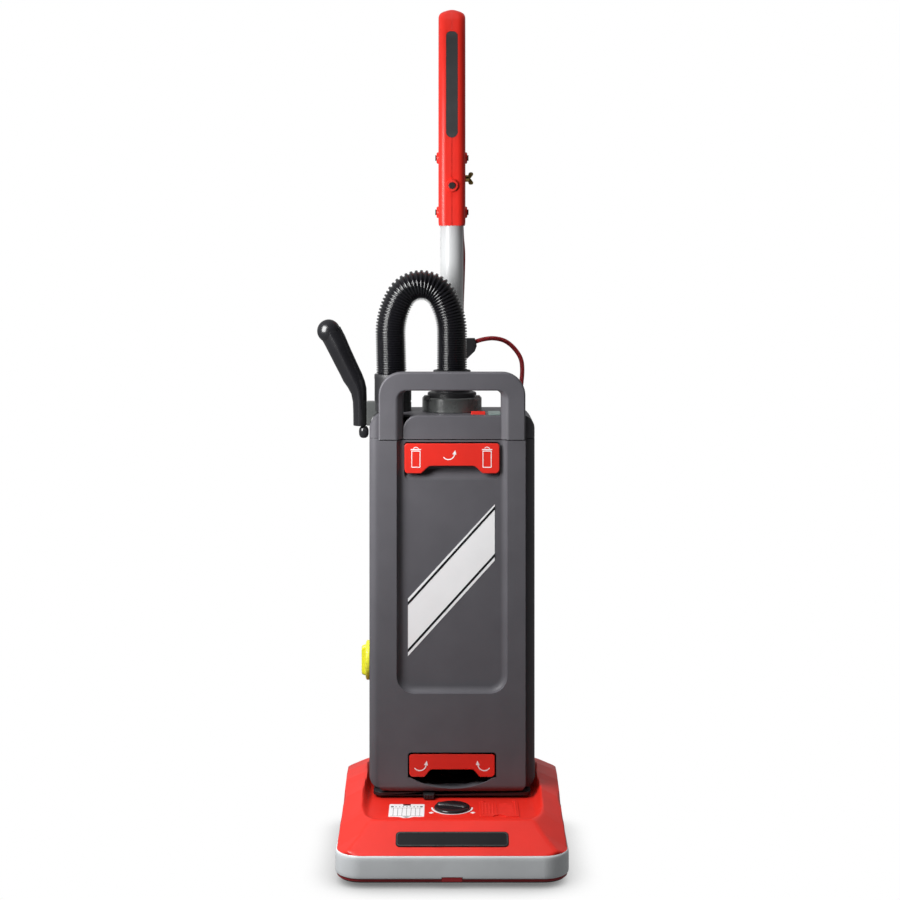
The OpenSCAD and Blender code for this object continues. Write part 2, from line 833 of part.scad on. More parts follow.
module wand_grip() {
    color("black") difference() {
        union() {
            along_y(wand_y - 12, wand_y + 12) polygon([[-150, 619], [-129.4, 619],
                [-129.4, 676], [-170, 767], [-197, 757], [-169, 691], [-154, 672]]);
            rod_y(wand_y - 13, wand_y + 13, -187.5, 763, 18);
        }
        rod_z(610, 634, lock_x, wand_y, 2.5 + run);
    }
}
module lock_knob() {
    color("black") {
        rod_z(600, 618.5, lock_x, wand_y, 7.5);
        rod_z(618, 632, lock_x, wand_y, 2.5);
    }
}
module tube_bracket(z0, z1) {
    difference() {
        box(-28, 28, body_d + 0.1, tube_y + 22, z0, z1);
        rod_z(z0 - 1, z1 + 1, 0, tube_y, tube_r + 0.02);
    }
}
module tube_brackets() {
    color("black") {
        tube_bracket(216, 256);
        tube_bracket(540, 585);
        // fixed lower cord hook
        box(-9, 9, tube_y + 20, tube_y + 52, 572, 582);
        box(-9, 9, tube_y + 45, tube_y + 52, 545, 582);
    }
}
module handle_tube() {
    color("whitesmoke") difference() {
        rod_z(tube_z0, tube_z1, 0, tube_y, tube_r);
        rod_z(tube_z0 - 1, tube_z1 + 1, 0, tube_y, tube_r - 1.6);
        for (z = [945, 1030]) rod_x(-30, 30, tube_y, z, 2.6);
        rod_x(0, 30, tube_y, wing_screw_z, 3 + run);
        rod_y(tube_y - 30, tube_y, 0, 986, 2.6);
        rod_y(tube_y, tube_y + 30, 0, hook_z, 3 + run);
    }
}
module grip_side() {
    polygon([[149, grip_z0], [191, grip_z0], [193, 1090], [206, 1190], [206, grip_z1 - 18],
        [196, grip_z1], [174, grip_z1], [162, grip_z1 - 18], [149, 1150]]);
}
module grip_form() {
    intersection() {
        along_x(-30, 30) grip_side();
        along_y(100, 250) rounded(-grip_half_w, grip_half_w, grip_z0, grip_z1, 2, 15);
    }
    for (z = [945, 1030]) rod_x(-24, 24, tube_y, z, 9);
    rod_y(145.5, 160, 0, 986, 10);
}
module insert_band(grow) {
    intersection() {
        along_x(-9 - grow, 9 + grow) polygon([[140, insert_z0 - grow], [140, insert_z1 + grow],
            [164 + grow, insert_z1 + grow], [152 + grow, 1150], [152 + grow, insert_z0 - grow]]);
        along_y(100, 200) rounded(-9 - grow, 9 + grow, insert_z0 - grow, insert_z1 + grow, 8.9, 4);
    }
}
module grip_half(side) {
    difference() {
        grip_form();
        box(side > 0 ? -60 : -0.1, side > 0 ? 0.1 : 60, 100, 260, 900, 1300);
        rod_z(900, tube_z1 + gap, 0, tube_y, tube_r + 0.02);
        insert_band(0.1);
        for (z = [945, 1030]) rod_x(-30, 30, tube_y, z, 2.6);
        rod_x(0, 40, tube_y, wing_screw_z, 3 + run);
        rod_y(140, 160, 0, 986, 2.6);
    }
}
module grip_left() {
    color("red") grip_half(-1);
}
module grip_right() {
    color("red") grip_half(1);
}
module grip_insert() {
    color("black") intersection() {
        insert_band(0);
        along_x(-9, 9) polygon([[148, insert_z0 - 3], [148, 1150], [161, grip_z1 - 18],
            [180, grip_z1 - 18], [180, insert_z0 - 3]]);
    }
}
module grip_screws() {
    color("gray") {
        for (z = [945, 1030]) {
            rod_x(-24.2, 24.2, tube_y, z, 2.5);
            rod_x(24.1, 26, tube_y, z, 4.5);
            rod_x(-26, -24.1, tube_y, z, 4.5);
        }
        rod_y(144, 160, 0, 986, 2.5);
        rod_y(143.6, 145.4, 0, 986, 5.2);
    }
}
module wing_screw() {
    color("gold") {
        rod_x(17, 30, tube_y, wing_screw_z, 3);
        rod_x(20.8, 27, tube_y, wing_screw_z, 5.5);
        box(25, 33.5, tube_y - 1.5, tube_y + 1.5, wing_screw_z - 10, wing_screw_z + 10);
    }
}
module cord_clip() {
    color("black") difference() {
        union() {
            rod_z(714, 750, 0, tube_y, tube_r + 3);
            along_y(tube_y - 5, tube_y + 8) polygon([[14, 748], [36, 748], [39, 736], [36, 728],
                [24, 716], [14, 716]]);
        }
        rod_z(700, 760, 0, tube_y, tube_r + 0.02);
    }
}
module power_cord() {
    loop_r = 36;
    loop_x = cord_x - loop_r;
    loop_z = 714;
    cord_y = tube_y + 2;
    turn_r = 16;
    turn_z = cord_wall_z + turn_r;
    color("darkred") {
        rod_z(750.2, grip_z0 - 0.3, 15, tube_y + 15.3, cord_r);
        translate([loop_x, cord_y, loop_z]) rotate([90, 0, 0]) rotate_extrude(angle = 150)
            translate([loop_r, 0]) circle(cord_r);
        rod_z(turn_z, loop_z, cord_x, cord_y, cord_r);
        translate([cord_x, cord_y - turn_r, turn_z]) rotate([0, 90, 0])
            rotate_extrude(angle = 90) translate([turn_r, 0]) circle(cord_r);
        rod_y(136, cord_y - turn_r, cord_x, cord_wall_z, cord_r);
    }
}
module upper_cord_hook() {
    color("black") {
        rod_y(tube_y + 14, tube_y + 20, 0, hook_z, 3);
        rod_y(tube_y + tube_r + 0.4, tube_y + 26, 0, hook_z, 10);
        box(-7, 7, tube_y + 20, tube_y + 26, hook_z, hook_z + 26);
        box(-7, 7, tube_y + 22, tube_y + 46, hook_z + 20, hook_z + 26);
        box(-7, 7, tube_y + 41, tube_y + 46, hook_z + 22, hook_z + 40);
    }
}

head_cover();
bumper_band();
lower_rim();
chassis();
brush_chamber();
brush_end_blocks();
drive_belt();
brush_motor();
deck_labels();
name_plate();
service_cover();
head_pins();
pedal_spring();
brush_core();
bristle_strips();
brush_rotor();
roller_carriage();
front_rollers();
rear_wheel_left();
rear_wheel_right();
release_pedal();
height_knob();
yoke_plate();
swivel_barrel();
pivot_axles();
rear_housing();
top_cap();
door_seal();
dust_bag();
riser_pipe();
suction_motor();
motor_filter();
exhaust_filter();
exhaust_cover();
indicator_panel();
hose_collar();
hose_cuff();
suction_hose();
tube_brackets();
handle_tube();
grip_left();
grip_right();
grip_insert();
grip_screws();
cord_clip();
power_cord();
fan_rotor();
front_door();
door_label();
door_pins();
door_latch();
disconnect_latch();
power_rocker();
cleanout_cap();
wand_tube();
wand_grip();
grip_bracket();
lock_knob();
upper_cord_hook();
wing_screw();
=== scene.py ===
"""Looks of the upright vacuum cleaner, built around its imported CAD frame. Outlines are in millimetres."""

import math
import random

import bmesh
import bpy
from mathutils import Matrix, Vector


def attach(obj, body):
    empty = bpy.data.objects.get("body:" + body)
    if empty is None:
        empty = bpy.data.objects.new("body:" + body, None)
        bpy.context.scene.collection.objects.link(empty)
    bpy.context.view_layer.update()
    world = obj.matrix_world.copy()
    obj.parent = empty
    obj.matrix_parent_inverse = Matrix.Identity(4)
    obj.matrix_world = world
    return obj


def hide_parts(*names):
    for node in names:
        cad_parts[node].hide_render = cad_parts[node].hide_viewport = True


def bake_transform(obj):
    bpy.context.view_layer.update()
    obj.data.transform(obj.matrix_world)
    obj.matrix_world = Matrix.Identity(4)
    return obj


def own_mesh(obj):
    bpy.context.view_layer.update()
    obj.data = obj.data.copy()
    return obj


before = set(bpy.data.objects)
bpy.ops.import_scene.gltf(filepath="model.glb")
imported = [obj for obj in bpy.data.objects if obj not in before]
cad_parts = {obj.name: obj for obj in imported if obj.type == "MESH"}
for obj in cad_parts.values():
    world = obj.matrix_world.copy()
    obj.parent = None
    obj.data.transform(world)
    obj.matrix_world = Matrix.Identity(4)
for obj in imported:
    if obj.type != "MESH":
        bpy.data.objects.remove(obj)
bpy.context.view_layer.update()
MM = 0.001
AXES = {"x": (1, 2, 0), "y": (0, 2, 1), "z": (0, 1, 2)}


# ---------------------------------------------------------------- outlines
def arc(cx, cy, r, start, end, steps):
    """Points along an arc, angles in degrees."""
    return [
        (cx + r * math.cos(math.radians(start + (end - start) * i / steps)),
         cy + r * math.sin(math.radians(start + (end - start) * i / steps)))
        for i in range(steps + 1)
    ]


def rounded(x0, x1, y0, y1, low=2.0, high=2.0, steps=10):
    """A rectangle with one radius at its low corners and one at its high corners."""
    return (
        arc(x0 + low, y0 + low, low, 180, 270, steps)
        + arc(x1 - low, y0 + low, low, 270, 360, steps)
        + arc(x1 - high, y1 - high, high, 0, 90, steps)
        + arc(x0 + high, y1 - high, high, 90, 180, steps)
    )


def circle(cx, cy, r, steps=48):
    return arc(cx, cy, r, 0, 360 * (steps - 1) / steps, steps - 1)


def place(u, v, w, axis):
    """Turns outline coordinates u, v and a depth w into a point; axis is the depth's direction."""
    p = [0.0, 0.0, 0.0]
    for value, i in zip((u, v, w), AXES[axis]):
        p[i] = value
    return p


# ---------------------------------------------------------------- meshes
def piece(name, verts, faces):
    mesh = bpy.data.meshes.new(name)
    mesh.from_pydata([tuple(c * MM for c in v) for v in verts], [], faces)
    obj = bpy.data.objects.new(name, mesh)
    bpy.context.scene.collection.objects.link(obj)
    bm = bmesh.new()
    bm.from_mesh(mesh)
    bmesh.ops.recalc_face_normals(bm, faces=bm.faces)
    bm.to_mesh(mesh)
    bm.free()
    return obj


def loft(name, loops, closed=False):
    """Skin over loops of equally many points; closed joins the last loop to the first."""
    n = len(loops[0])
    verts = [p for loop in loops for p in loop]
    faces = []
    count = len(loops)
    for i in range(count if closed else count - 1):
        a, b = i * n, ((i + 1) % count) * n
        for j in range(n):
            k = (j + 1) % n
            faces.append((a + j, a + k, b + k, b + j))
    if not closed:
        faces.append(tuple(reversed(range(n))))
        faces.append(tuple(range((count - 1) * n, count * n)))
    return piece(name, verts, faces)


def prism(name, outline, lo, hi, axis):
    return loft(name, [[place(u, v, w, axis) for u, v in outline] for w in (lo, hi)])


def box(name, x0, x1, y0, y1, z0, z1):
    return prism(name, [(x0, y0), (x1, y0), (x1, y1), (x0, y1)], z0, z1, "z")


def revolved(r, h, share, centre, axis):
    """Point at radius r and height h, a share of a full turn around an axis through centre."""
    a = 2 * math.pi * share
    p = place(r * math.cos(a), r * math.sin(a), h, axis)
    return [p[k] + centre[k] for k in range(3)]


def lathe(name, profile, centre, axis="z", steps=72):
    """Turns a closed profile of (radius, height) around an axis through centre. Radii stay above 0."""
    loops = [[revolved(r, h, i / steps, centre, axis) for r, h in profile] for i in range(steps)]
    return loft(name, loops, closed=True)


def turned(name, profile, centre, axis="z", steps=64):
    """Solid of revolution from a profile of (radius, height) that runs from one flat end to the other."""
    return loft(name, [[revolved(r, h, i / steps, centre, axis) for i in range(steps)]
                       for r, h in profile])


def smooth_path(points, steps=10):
    """Catmull-Rom curve through the points."""
    pts = [Vector(p) for p in points]
    pts = [2 * pts[0] - pts[1]] + pts + [2 * pts[-1] - pts[-2]]
    out = []
    for i in range(1, len(pts) - 2):
        a, b, c, d = pts[i - 1:i + 3]
        for s in range(steps):
            t = s / steps
            out.append(0.5 * (2 * b + (c - a) * t + (2 * a - 5 * b + 4 * c - d) * t * t
                              + (3 * b - a - 3 * c + d) * t ** 3))
    out.append(pts[-2])
    return out


def sweep(name, path, radius, sides=16):
    """Tube along a path; radius is a number or a function of the distance along it."""
    path = [Vector(p) for p in path]
    tangents = [(path[min(i + 1, len(path) - 1)] - path[max(i - 1, 0)]).normalized()
                for i in range(len(path))]
    side = tangents[0].orthogonal().normalized()
    loops, distance = [], 0.0
    for i, (p, t) in enumerate(zip(path, tangents)):
        if i:
            distance += (p - path[i - 1]).length
            side = tangents[i - 1].rotation_difference(t) @ side
        side = (side - t * side.dot(t)).normalized()
        up = t.cross(side)
        r = radius(distance) if callable(radius) else radius
        loops.append([p + r * (math.cos(2 * math.pi * j / sides) * side
                               + math.sin(2 * math.pi * j / sides) * up) for j in range(sides)])
    return loft(name, loops)


def bake(obj):
    graph = bpy.context.evaluated_depsgraph_get()
    mesh = bpy.data.meshes.new_from_object(obj.evaluated_get(graph))
    obj.modifiers.clear()
    obj.data = mesh
    return obj


def combine(obj, others, how):
    """Boolean of obj with each other piece, which is used up."""
    for other in others:
        backup = obj.data.copy()
        for solver in ("MANIFOLD", "EXACT"):
            mod = obj.modifiers.new("combine", "BOOLEAN")
            mod.operation = how
            mod.solver = solver
            mod.object = other
            bake(obj)
            if len(obj.data.polygons) > 3:
                break
            obj.data = backup
        bpy.data.objects.remove(other)
    return obj


def cut(obj, *others):
    return combine(obj, others, "DIFFERENCE")


def add(obj, *others):
    return combine(obj, others, "UNION")


def keep(obj, *others):
    return combine(obj, others, "INTERSECT")


def soften(obj, width, segments=3, angle=32):
    """Rounds the edges of a piece."""
    bm = bmesh.new()
    bm.from_mesh(obj.data)
    bmesh.ops.remove_doubles(bm, verts=bm.verts, dist=2e-6)
    bmesh.ops.dissolve_limit(bm, angle_limit=math.radians(0.4), verts=bm.verts, edges=bm.edges)
    bm.to_mesh(obj.data)
    bm.free()
    mod = obj.modifiers.new("soften", "BEVEL")
    mod.limit_method = "ANGLE"
    mod.angle_limit = math.radians(angle)
    mod.width = width * MM
    mod.segments = segments
    mod.use_clamp_overlap = True
    return bake(obj)


def shade(obj, angle=38):
    obj.data.shade_smooth()
    obj.data.set_sharp_from_angle(angle=math.radians(angle))
    return obj


def weighted(obj):
    mod = obj.modifiers.new("normals", "WEIGHTED_NORMAL")
    mod.keep_sharp = True
    mod.weight = 60
    return bake(obj)


# ---------------------------------------------------------------- materials
def shader_node(tree, kind, **values):
    """A new shader node with some inputs set. Underscores in the inputs' names stand for spaces."""
    made = tree.nodes.new("ShaderNode" + kind)
    for key, value in values.items():
        made.inputs[key.replace("_", " ")].default_value = value
    return made


ROUGH_SPAN = 0.10
GRAIN_DEPTH = 0.0004


def material(name, colour, rough, metal=0.0, coat=0.0, tint=0.10, tint_scale=22.0, grain=0.0,
             grain_scale=1400.0, wear=0.0, sheen=0.0, streak=None, shine=0.5):
    """Procedural finish: cloudy tint, fine grain bump, changing roughness and worn edges."""
    mat = bpy.data.materials.new(name)
    mat.use_nodes = True
    tree, links = mat.node_tree, mat.node_tree.links
    shader = tree.nodes["Principled BSDF"]
    vector = shader_node(tree, "TexCoord").outputs["Object"]
    if streak:
        stretch = shader_node(tree, "Mapping", Scale=streak)
        links.new(vector, stretch.inputs["Vector"])
        vector = stretch.outputs["Vector"]
    cloud = shader_node(tree, "TexNoise", Scale=tint_scale, Detail=6.0)
    links.new(vector, cloud.inputs["Vector"])
    ramp = shader_node(tree, "ValToRGB")
    dark, pale = ramp.color_ramp.elements
    dark.position, pale.position = 0.3, 0.7
    dark.color = (*[c * (1 - tint) for c in colour], 1)
    pale.color = (*[min(1, c * (1 + tint)) for c in colour], 1)
    links.new(cloud.outputs["Fac"], ramp.inputs["Fac"])
    base = ramp.outputs["Color"]
    if wear:
        geometry = shader_node(tree, "NewGeometry")
        edge = shader_node(tree, "MapRange", From_Min=0.52, From_Max=0.62, To_Max=wear)
        links.new(geometry.outputs["Pointiness"], edge.inputs["Value"])
        mix = shader_node(tree, "Mix")
        mix.data_type = "RGBA"
        links.new(edge.outputs["Result"], mix.inputs["Factor"])
        links.new(base, mix.inputs["A"])
        mix.inputs["B"].default_value = (*[min(1, 0.25 + c * 1.3) for c in colour], 1)
        base = mix.outputs["Result"]
    links.new(base, shader.inputs["Base Color"])
    smudge = shader_node(tree, "TexNoise", Scale=tint_scale * 2.7, Detail=4.0)
    links.new(vector, smudge.inputs["Vector"])
    gloss = shader_node(tree, "MapRange", To_Min=max(0.03, rough - ROUGH_SPAN / 2),
                        To_Max=rough + ROUGH_SPAN / 2)
    links.new(smudge.outputs["Fac"], gloss.inputs["Value"])
    links.new(gloss.outputs["Result"], shader.inputs["Roughness"])
    if grain:
        speck = shader_node(tree, "TexNoise", Scale=grain_scale, Detail=3.0)
        links.new(vector, speck.inputs["Vector"])
        bump = shader_node(tree, "Bump", Strength=grain, Distance=GRAIN_DEPTH)
        links.new(speck.outputs["Fac"], bump.inputs["Height"])
        links.new(bump.outputs["Normal"], shader.inputs["Normal"])
    shader.inputs["Metallic"].default_value = metal
    shader.inputs["Specular IOR Level"].default_value = shine
    shader.inputs["Coat Weight"].default_value = coat
    shader.inputs["Coat Roughness"].default_value = 0.12
    shader.inputs["Sheen Weight"].default_value = sheen
    return mat


GREY = (0.105, 0.102, 0.114)
M = {
    "red_shell": material("red_shell", (0.76, 0.026, 0.016), 0.38, coat=0.08, tint=0.05, grain=0.05,
                          grain_scale=900, wear=0.06, shine=0.30),
    "grey_shell": material("grey_shell", GREY, 0.46, tint=0.06, grain=0.22, grain_scale=2200, wear=0.12,
                           shine=0.32),
    "bumper": material("bumper", (0.80, 0.83, 0.85), 0.42, tint=0.05, grain=0.12, grain_scale=1500,
                       wear=0.15),
    "black_plastic": material("black_plastic", (0.020, 0.020, 0.022), 0.42, tint=0.15, grain=0.15,
                              grain_scale=1800, wear=0.06),
    "black_gloss": material("black_gloss", (0.012, 0.012, 0.014), 0.24, coat=0.3, tint=0.15, grain=0.04,
                            wear=0.05),
    "dark_red": material("dark_red", (0.38, 0.022, 0.028), 0.38, tint=0.06, grain=0.02, grain_scale=900),
    "tube_paint": material("tube_paint", (0.55, 0.56, 0.565), 0.38, coat=0.15, sheen=0.3, tint=0.03,
                           grain=0.04, grain_scale=700, shine=0.35),
    "hose": material("hose", (0.006, 0.006, 0.008), 0.20, coat=0.5, tint=0.1, shine=0.7),
    "rubber": material("rubber", (0.030, 0.030, 0.032), 0.62, tint=0.2, grain=0.35, grain_scale=1600,
                       wear=0.05),
    "belt_rubber": material("belt_rubber", (0.022, 0.022, 0.022), 0.7, tint=0.2, grain=0.3),
    "steel": material("steel", (0.55, 0.55, 0.57), 0.28, metal=1.0, tint=0.08, grain=0.1, grain_scale=600,
                      streak=(1, 1, 14)),
    "brass": material("brass", (0.70, 0.47, 0.15), 0.30, metal=1.0, tint=0.15, grain=0.15, wear=0.2),
    "yellow": material("yellow", (0.82, 0.80, 0.03), 0.33, coat=0.2, tint=0.06, grain=0.08, wear=0.1),
    "collar": material("collar", (0.085, 0.090, 0.088), 0.28, coat=0.3, tint=0.12, grain=0.08, wear=0.08),
    "panel": material("panel", (0.20, 0.27, 0.25), 0.35, tint=0.1, grain=0.05),
    "label": material("label", (0.92, 0.92, 0.93), 0.34, coat=0.2, tint=0.02, grain=0.02),
    "label_ink": material("label_ink", (0.012, 0.012, 0.014), 0.40, tint=0.1, grain=0.02, shine=0.25),
    "dark_steel": material("dark_steel", (0.09, 0.07, 0.07), 0.35, metal=0.8, tint=0.1, grain=0.08),
    "paper_bag": material("paper_bag", (0.66, 0.56, 0.42), 0.85, tint=0.12, tint_scale=40, grain=0.5,
                          grain_scale=500),
    "filter": material("filter", (0.80, 0.80, 0.78), 0.9, tint=0.08, grain=0.8, grain_scale=700, sheen=0.3),
    "bristle": material("bristle", (0.70, 0.70, 0.66), 0.55, tint=0.15, grain=0.5, grain_scale=2500),
    "motor_can": material("motor_can", (0.50, 0.50, 0.52), 0.36, metal=0.9, tint=0.1, grain=0.12,
                          streak=(1, 1, 10)),
}


def finish(obj, slot, body, *nodes, angle=38, mat=None):
    """Shades a piece, gives it a finish, puts it on a body and hides the CAD nodes it stands in for."""
    shade(obj, angle)
    weighted(obj)
    obj.data.materials.clear()
    obj.data.materials.append(M[mat or slot])
    if body:
        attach(obj, body)
    if nodes:
        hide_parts(*nodes)
    return obj


# ---------------------------------------------------------------- CAD nodes that stay
def dress(node, slot, width=0.5, mat=None):
    """Keeps a CAD node and rounds its edges with modifiers; a width of 0 leaves them plain."""
    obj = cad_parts[node]
    mesh = obj.data
    mesh.materials.clear()
    mesh.materials.append(M[mat or slot])
    if not width:
        return obj
    if "custom_normal" in mesh.attributes:
        mesh.attributes.remove(mesh.attributes["custom_normal"])
    mesh.shade_smooth()
    weld = obj.modifiers.new("weld", "WELD")
    weld.merge_threshold = 1e-5
    flat = obj.modifiers.new("flat", "DECIMATE")
    flat.decimate_type = "DISSOLVE"
    flat.angle_limit = math.radians(0.8)
    edge = obj.modifiers.new("edge", "BEVEL")
    edge.limit_method = "ANGLE"
    edge.angle_limit = math.radians(34)
    edge.width = width * MM
    edge.segments = 2
    edge.use_clamp_overlap = False
    edge.harden_normals = True
    return obj


for cad_node, cad_slot, cad_width in [
    ("rear_housing", "grey_shell", 1.0), ("chassis", "black_plastic", 0),
    ("brush_chamber", "black_plastic", 0.3), ("brush_end_blocks", "black_plastic", 0.3),
    ("drive_belt", "belt_rubber", 0.2), ("brush_motor", "motor_can", 0.4), ("head_pins", "steel", 0.2),
    ("brush_core", "black_plastic", 0.3), ("brush_rotor", "steel", 0.3),
    ("roller_carriage", "black_plastic", 0.4), ("release_pedal", "black_plastic", 0.8),
    ("yoke_plate", "black_plastic", 0.8), ("swivel_barrel", "black_plastic", 0.8),
    ("pivot_axles", "steel", 0.4), ("door_seal", "rubber", 0.2), ("riser_pipe", "black_plastic", 0.5),
    ("suction_motor", "motor_can", 0.4), ("motor_filter", "filter", 0.8),
    ("exhaust_filter", "filter", 0.8), ("exhaust_cover", "grey_shell", 0.5),
    ("indicator_panel", "panel", 0.4), ("tube_brackets", "black_plastic", 1.2),
    ("handle_tube", "tube_paint", 0.3), ("cord_clip", "black_plastic", 0.8), ("fan_rotor", "steel", 0.2),
    ("door_pins", "steel", 0.2), ("power_rocker", "red_shell", 0.6),
    ("upper_cord_hook", "black_plastic", 0.8),
]:
    dress(cad_node, cad_slot, cad_width)
dress("grip_screws", "steel", 0.4, mat="dark_steel")


# ---------------------------------------------------------------- floor head
HEAD_HALF, HEAD_FRONT, HEAD_BACK, COVER_Z = 162.0, -148.0, 148.0, 46.0
FRONT_R, BACK_R = 36.0, 10.0
KNOB_Y = -42.0


def smin(a, b, k):
    """Minimum of two heights with a crease rounded over k."""
    h = max(k - abs(a - b), 0.0) / k
    return min(a, b) - h * h * k * 0.25


def line(points, t):
    """Value of a broken line at t."""
    for (t0, v0), (t1, v1) in zip(points, points[1:]):
        if t <= t1:
            return v0 + (v1 - v0) * max(0.0, (t - t0)) / (t1 - t0)
    return points[-1][1]


def half_width(y, inset):
    """Half width of the head's plan at y, with its rounded corners."""
    front, back = HEAD_FRONT + inset, HEAD_BACK - inset
    w = HEAD_HALF - inset
    for depth, r in ((y - front, FRONT_R - inset), (back - y, BACK_R - inset)):
        if r > 0 and depth < r:
            w = min(w, HEAD_HALF - inset - r + math.sqrt(max(r * r - (r - max(depth, 0)) ** 2, 0)))
    return w


def cover_height(x, y):
    """Height of the cover's moulded top: front slope, ridged wings and a sunken control deck."""
    ax = abs(x)
    spine = line([(-150, 44.6), (-98, 80), (-65, 82.2), (-20, 94.0), (30, 108.0), (58, 112.6), (97, 113),
                  (122, 108), (150, 97)], y)
    rim = line([(-150, 40), (-115, 47.5), (-70, 62), (0, 80), (60, 89), (100, 91), (150, 85)], y)
    facet = rim + line([(-60, 0.62), (40, 0.42)], y) * (160 - ax)
    side = 48 + line([(-150, 40), (-112, 12), (0, 8.5), (100, 25), (150, 25)], y) * (162 - ax)
    reach = math.hypot(max(0.0, ax - 101), max(0.0, -71 - y)) - 20
    steep = 0.7 + 1.9 * max(0.0, min(1.0, (y + 50) / 90))
    bowl = 78 + steep * (0.5 * (reach + math.sqrt(reach * reach + 6.0)))
    bowl += 7.0 * max(0.0, min(1.0, (ax - 112) / 6)) * max(0.0, min(1.0, (y - 24) / 26))
    return smin(smin(smin(spine, facet, 3), side, 2), bowl, 2)


def cover_solid(name, drop, inset):
    """Closed solid under the cover's top, lowered by drop and drawn in by inset."""
    edge = [0.0, 0.5, 1.5, 3.0, 5.0, 8.0]
    roll = 2.4
    steps = 150
    corner = FRONT_R - inset
    front, back = HEAD_FRONT + inset, HEAD_BACK - inset
    ys = [front + e for e in edge]
    ys += [front + 8 + (back - front - 16) * i / steps for i in range(1, steps)]
    ys += [back - e for e in reversed(edge)]
    rows = []
    for y in ys:
        w = half_width(y, inset)
        inner = 2 * (w - 8)
        xs = [-w + e for e in edge] + [-w + 8 + inner * i / steps for i in range(1, steps)]
        xs += [w - e for e in reversed(edge)]
        row = []
        for x in xs:
            z = cover_height(x, y) - drop
            d = min(w - abs(x), y - front, back - y)
            cx, cy = abs(x) - (HEAD_HALF - inset - corner), (front + corner) - y
            if cx > 0 and cy > 0:
                d = corner - math.hypot(cx, cy)
            d = max(0.0, d)
            if d < roll:
                z -= roll - math.sqrt(max(roll * roll - (roll - d) ** 2, 0))
            row.append([x, y, max(z, COVER_Z - drop + 0.2)])
        rows.append(row)
    n = len(rows[0])
    low = COVER_Z - drop - (6 if drop else 0)
    verts = [p for row in rows for p in row]
    base = len(verts)
    verts += [[p[0], p[1], low] for row in rows for p in row]
    faces = []
    for j in range(len(rows) - 1):
        for i in range(n - 1):
            a = j * n + i
            faces.append((a, a + 1, a + n + 1, a + n))
            faces.append((base + a, base + a + n, base + a + n + 1, base + a + 1))
    last = (len(rows) - 1) * n
    for i in range(n - 1):
        faces.append((i, base + i, base + i + 1, i + 1))
        faces.append((last + i, last + i + 1, base + last + i + 1, base + last + i))
    for j in range(len(rows) - 1):
        a, b = j * n, (j + 1) * n
        faces.append((a, b, base + b, base + a))
        faces.append((a + n - 1, base + a + n - 1, base + b + n - 1, b + n - 1))
    return piece(name, verts, faces)


cover = cover_solid("head_cover_look", 0, 0)
cut(cover, cover_solid("tool", 3.4, 3.4), box("tool", -124.3, 124.3, 62, 170, 0, 200),
    turned("tool", [(7.3, 50), (7.3, 100)], (0, KNOB_Y, 0)), box("tool", -150, -130, 138, 155, 60, 86))
finish(cover, "red_shell", "head", "head_cover", angle=50)


def plan(inset, z, steps=14):
    """The head's plan outline, drawn in by inset, at height z."""
    points = rounded(-164 + inset, 164 - inset, -150 + inset, 150 - inset, 38 - inset,
                     12 - inset, steps)
    return [(x, y, z) for x, y in points]


bumper = loft("bumper_look", [plan(i, z) for i, z in [
    (5, 14), (1.8, 14), (0.7, 14.6), (0.1, 16), (0.0, 20), (0.0, 38), (0.2, 42.6), (0.8, 44.9),
    (1.9, 45.8), (5, 45.8)]], closed=True)
cut(bumper, box("tool", -130, 130, 62, 170, 0, 100), box("tool", -14.7, 14.7, -152, -144, 10, 17.2))
finish(bumper, "bumper", "head", "bumper_band")

rim = loft("lower_rim_look", [plan(i, z) for i, z in [
    (5, 10), (3.0, 10), (2.2, 10.6), (2, 11.4), (2, 13), (2.4, 13.8), (5, 13.8)]], closed=True)
cut(rim, box("tool", -130, 130, 62, 170, 0, 100))
tab = soften(box("tool", -14.3, 14.3, -149.6, -145.2, 10.4, 17), 0.6)
add(rim, tab)
finish(rim, "dark_red", "head", "lower_rim")

# name plate on the front slope, with a raised outline
SLOPE = Matrix.Translation((0, -0.12557, 0.06147)) @ Matrix.Rotation(math.atan2(35.4, 52), 4, "X")


def on_slope(obj):
    obj.data.transform(SLOPE)
    return obj


plate = soften(on_slope(prism("name_plate_look", rounded(-79, 79, -12.5, 12.5, 6, 6), -0.6, 1.1, "z")), 0.5)
finish(plate, "black_gloss", "head", "name_plate", mat="label_ink")
outline = on_slope(prism("name_plate_outline", rounded(-77.4, 77.4, -10.9, 10.9, 4.8, 4.8),
                         0.9, 1.25, "z"))
cut(outline, on_slope(prism("tool", rounded(-76.7, 76.7, -10.2, 10.2, 4.2, 4.2), 0.5, 2, "z")))
finish(outline, "collar", "head")

# height knob: a flat domed disc with a slim diagonal grip
knob = turned("height_knob_look", [
    (12.8, 30), (13, 30.3), (13, 38.5), (7, 39), (7, 78.6), (25.2, 78.8), (26, 79.5), (26, 80.6),
    (25.3, 81.8), (23.5, 82.6), (19, 83.2), (11, 83.6), (0.5, 83.7)], (0, 0, 0), steps=96)
grip_bar = loft("tool", [[(x * wide, y * deep, z) for x, y in rounded(-24, 24, -5, 5, 4.9, 4.9)]
                         for wide, deep, z in ((1.0, 1.0, 82), (0.98, 0.86, 83.6), (0.93, 0.55, 85.1),
                                               (0.86, 0.30, 85.8), (0.78, 0.10, 86))])
grip_bar.data.transform(Matrix.Rotation(math.radians(-20), 4, "Z"))
add(knob, grip_bar)
knob.data.transform(Matrix.Translation((0, KNOB_Y * MM, 0)))
finish(knob, "black_gloss", "knob", "height_knob", angle=40)

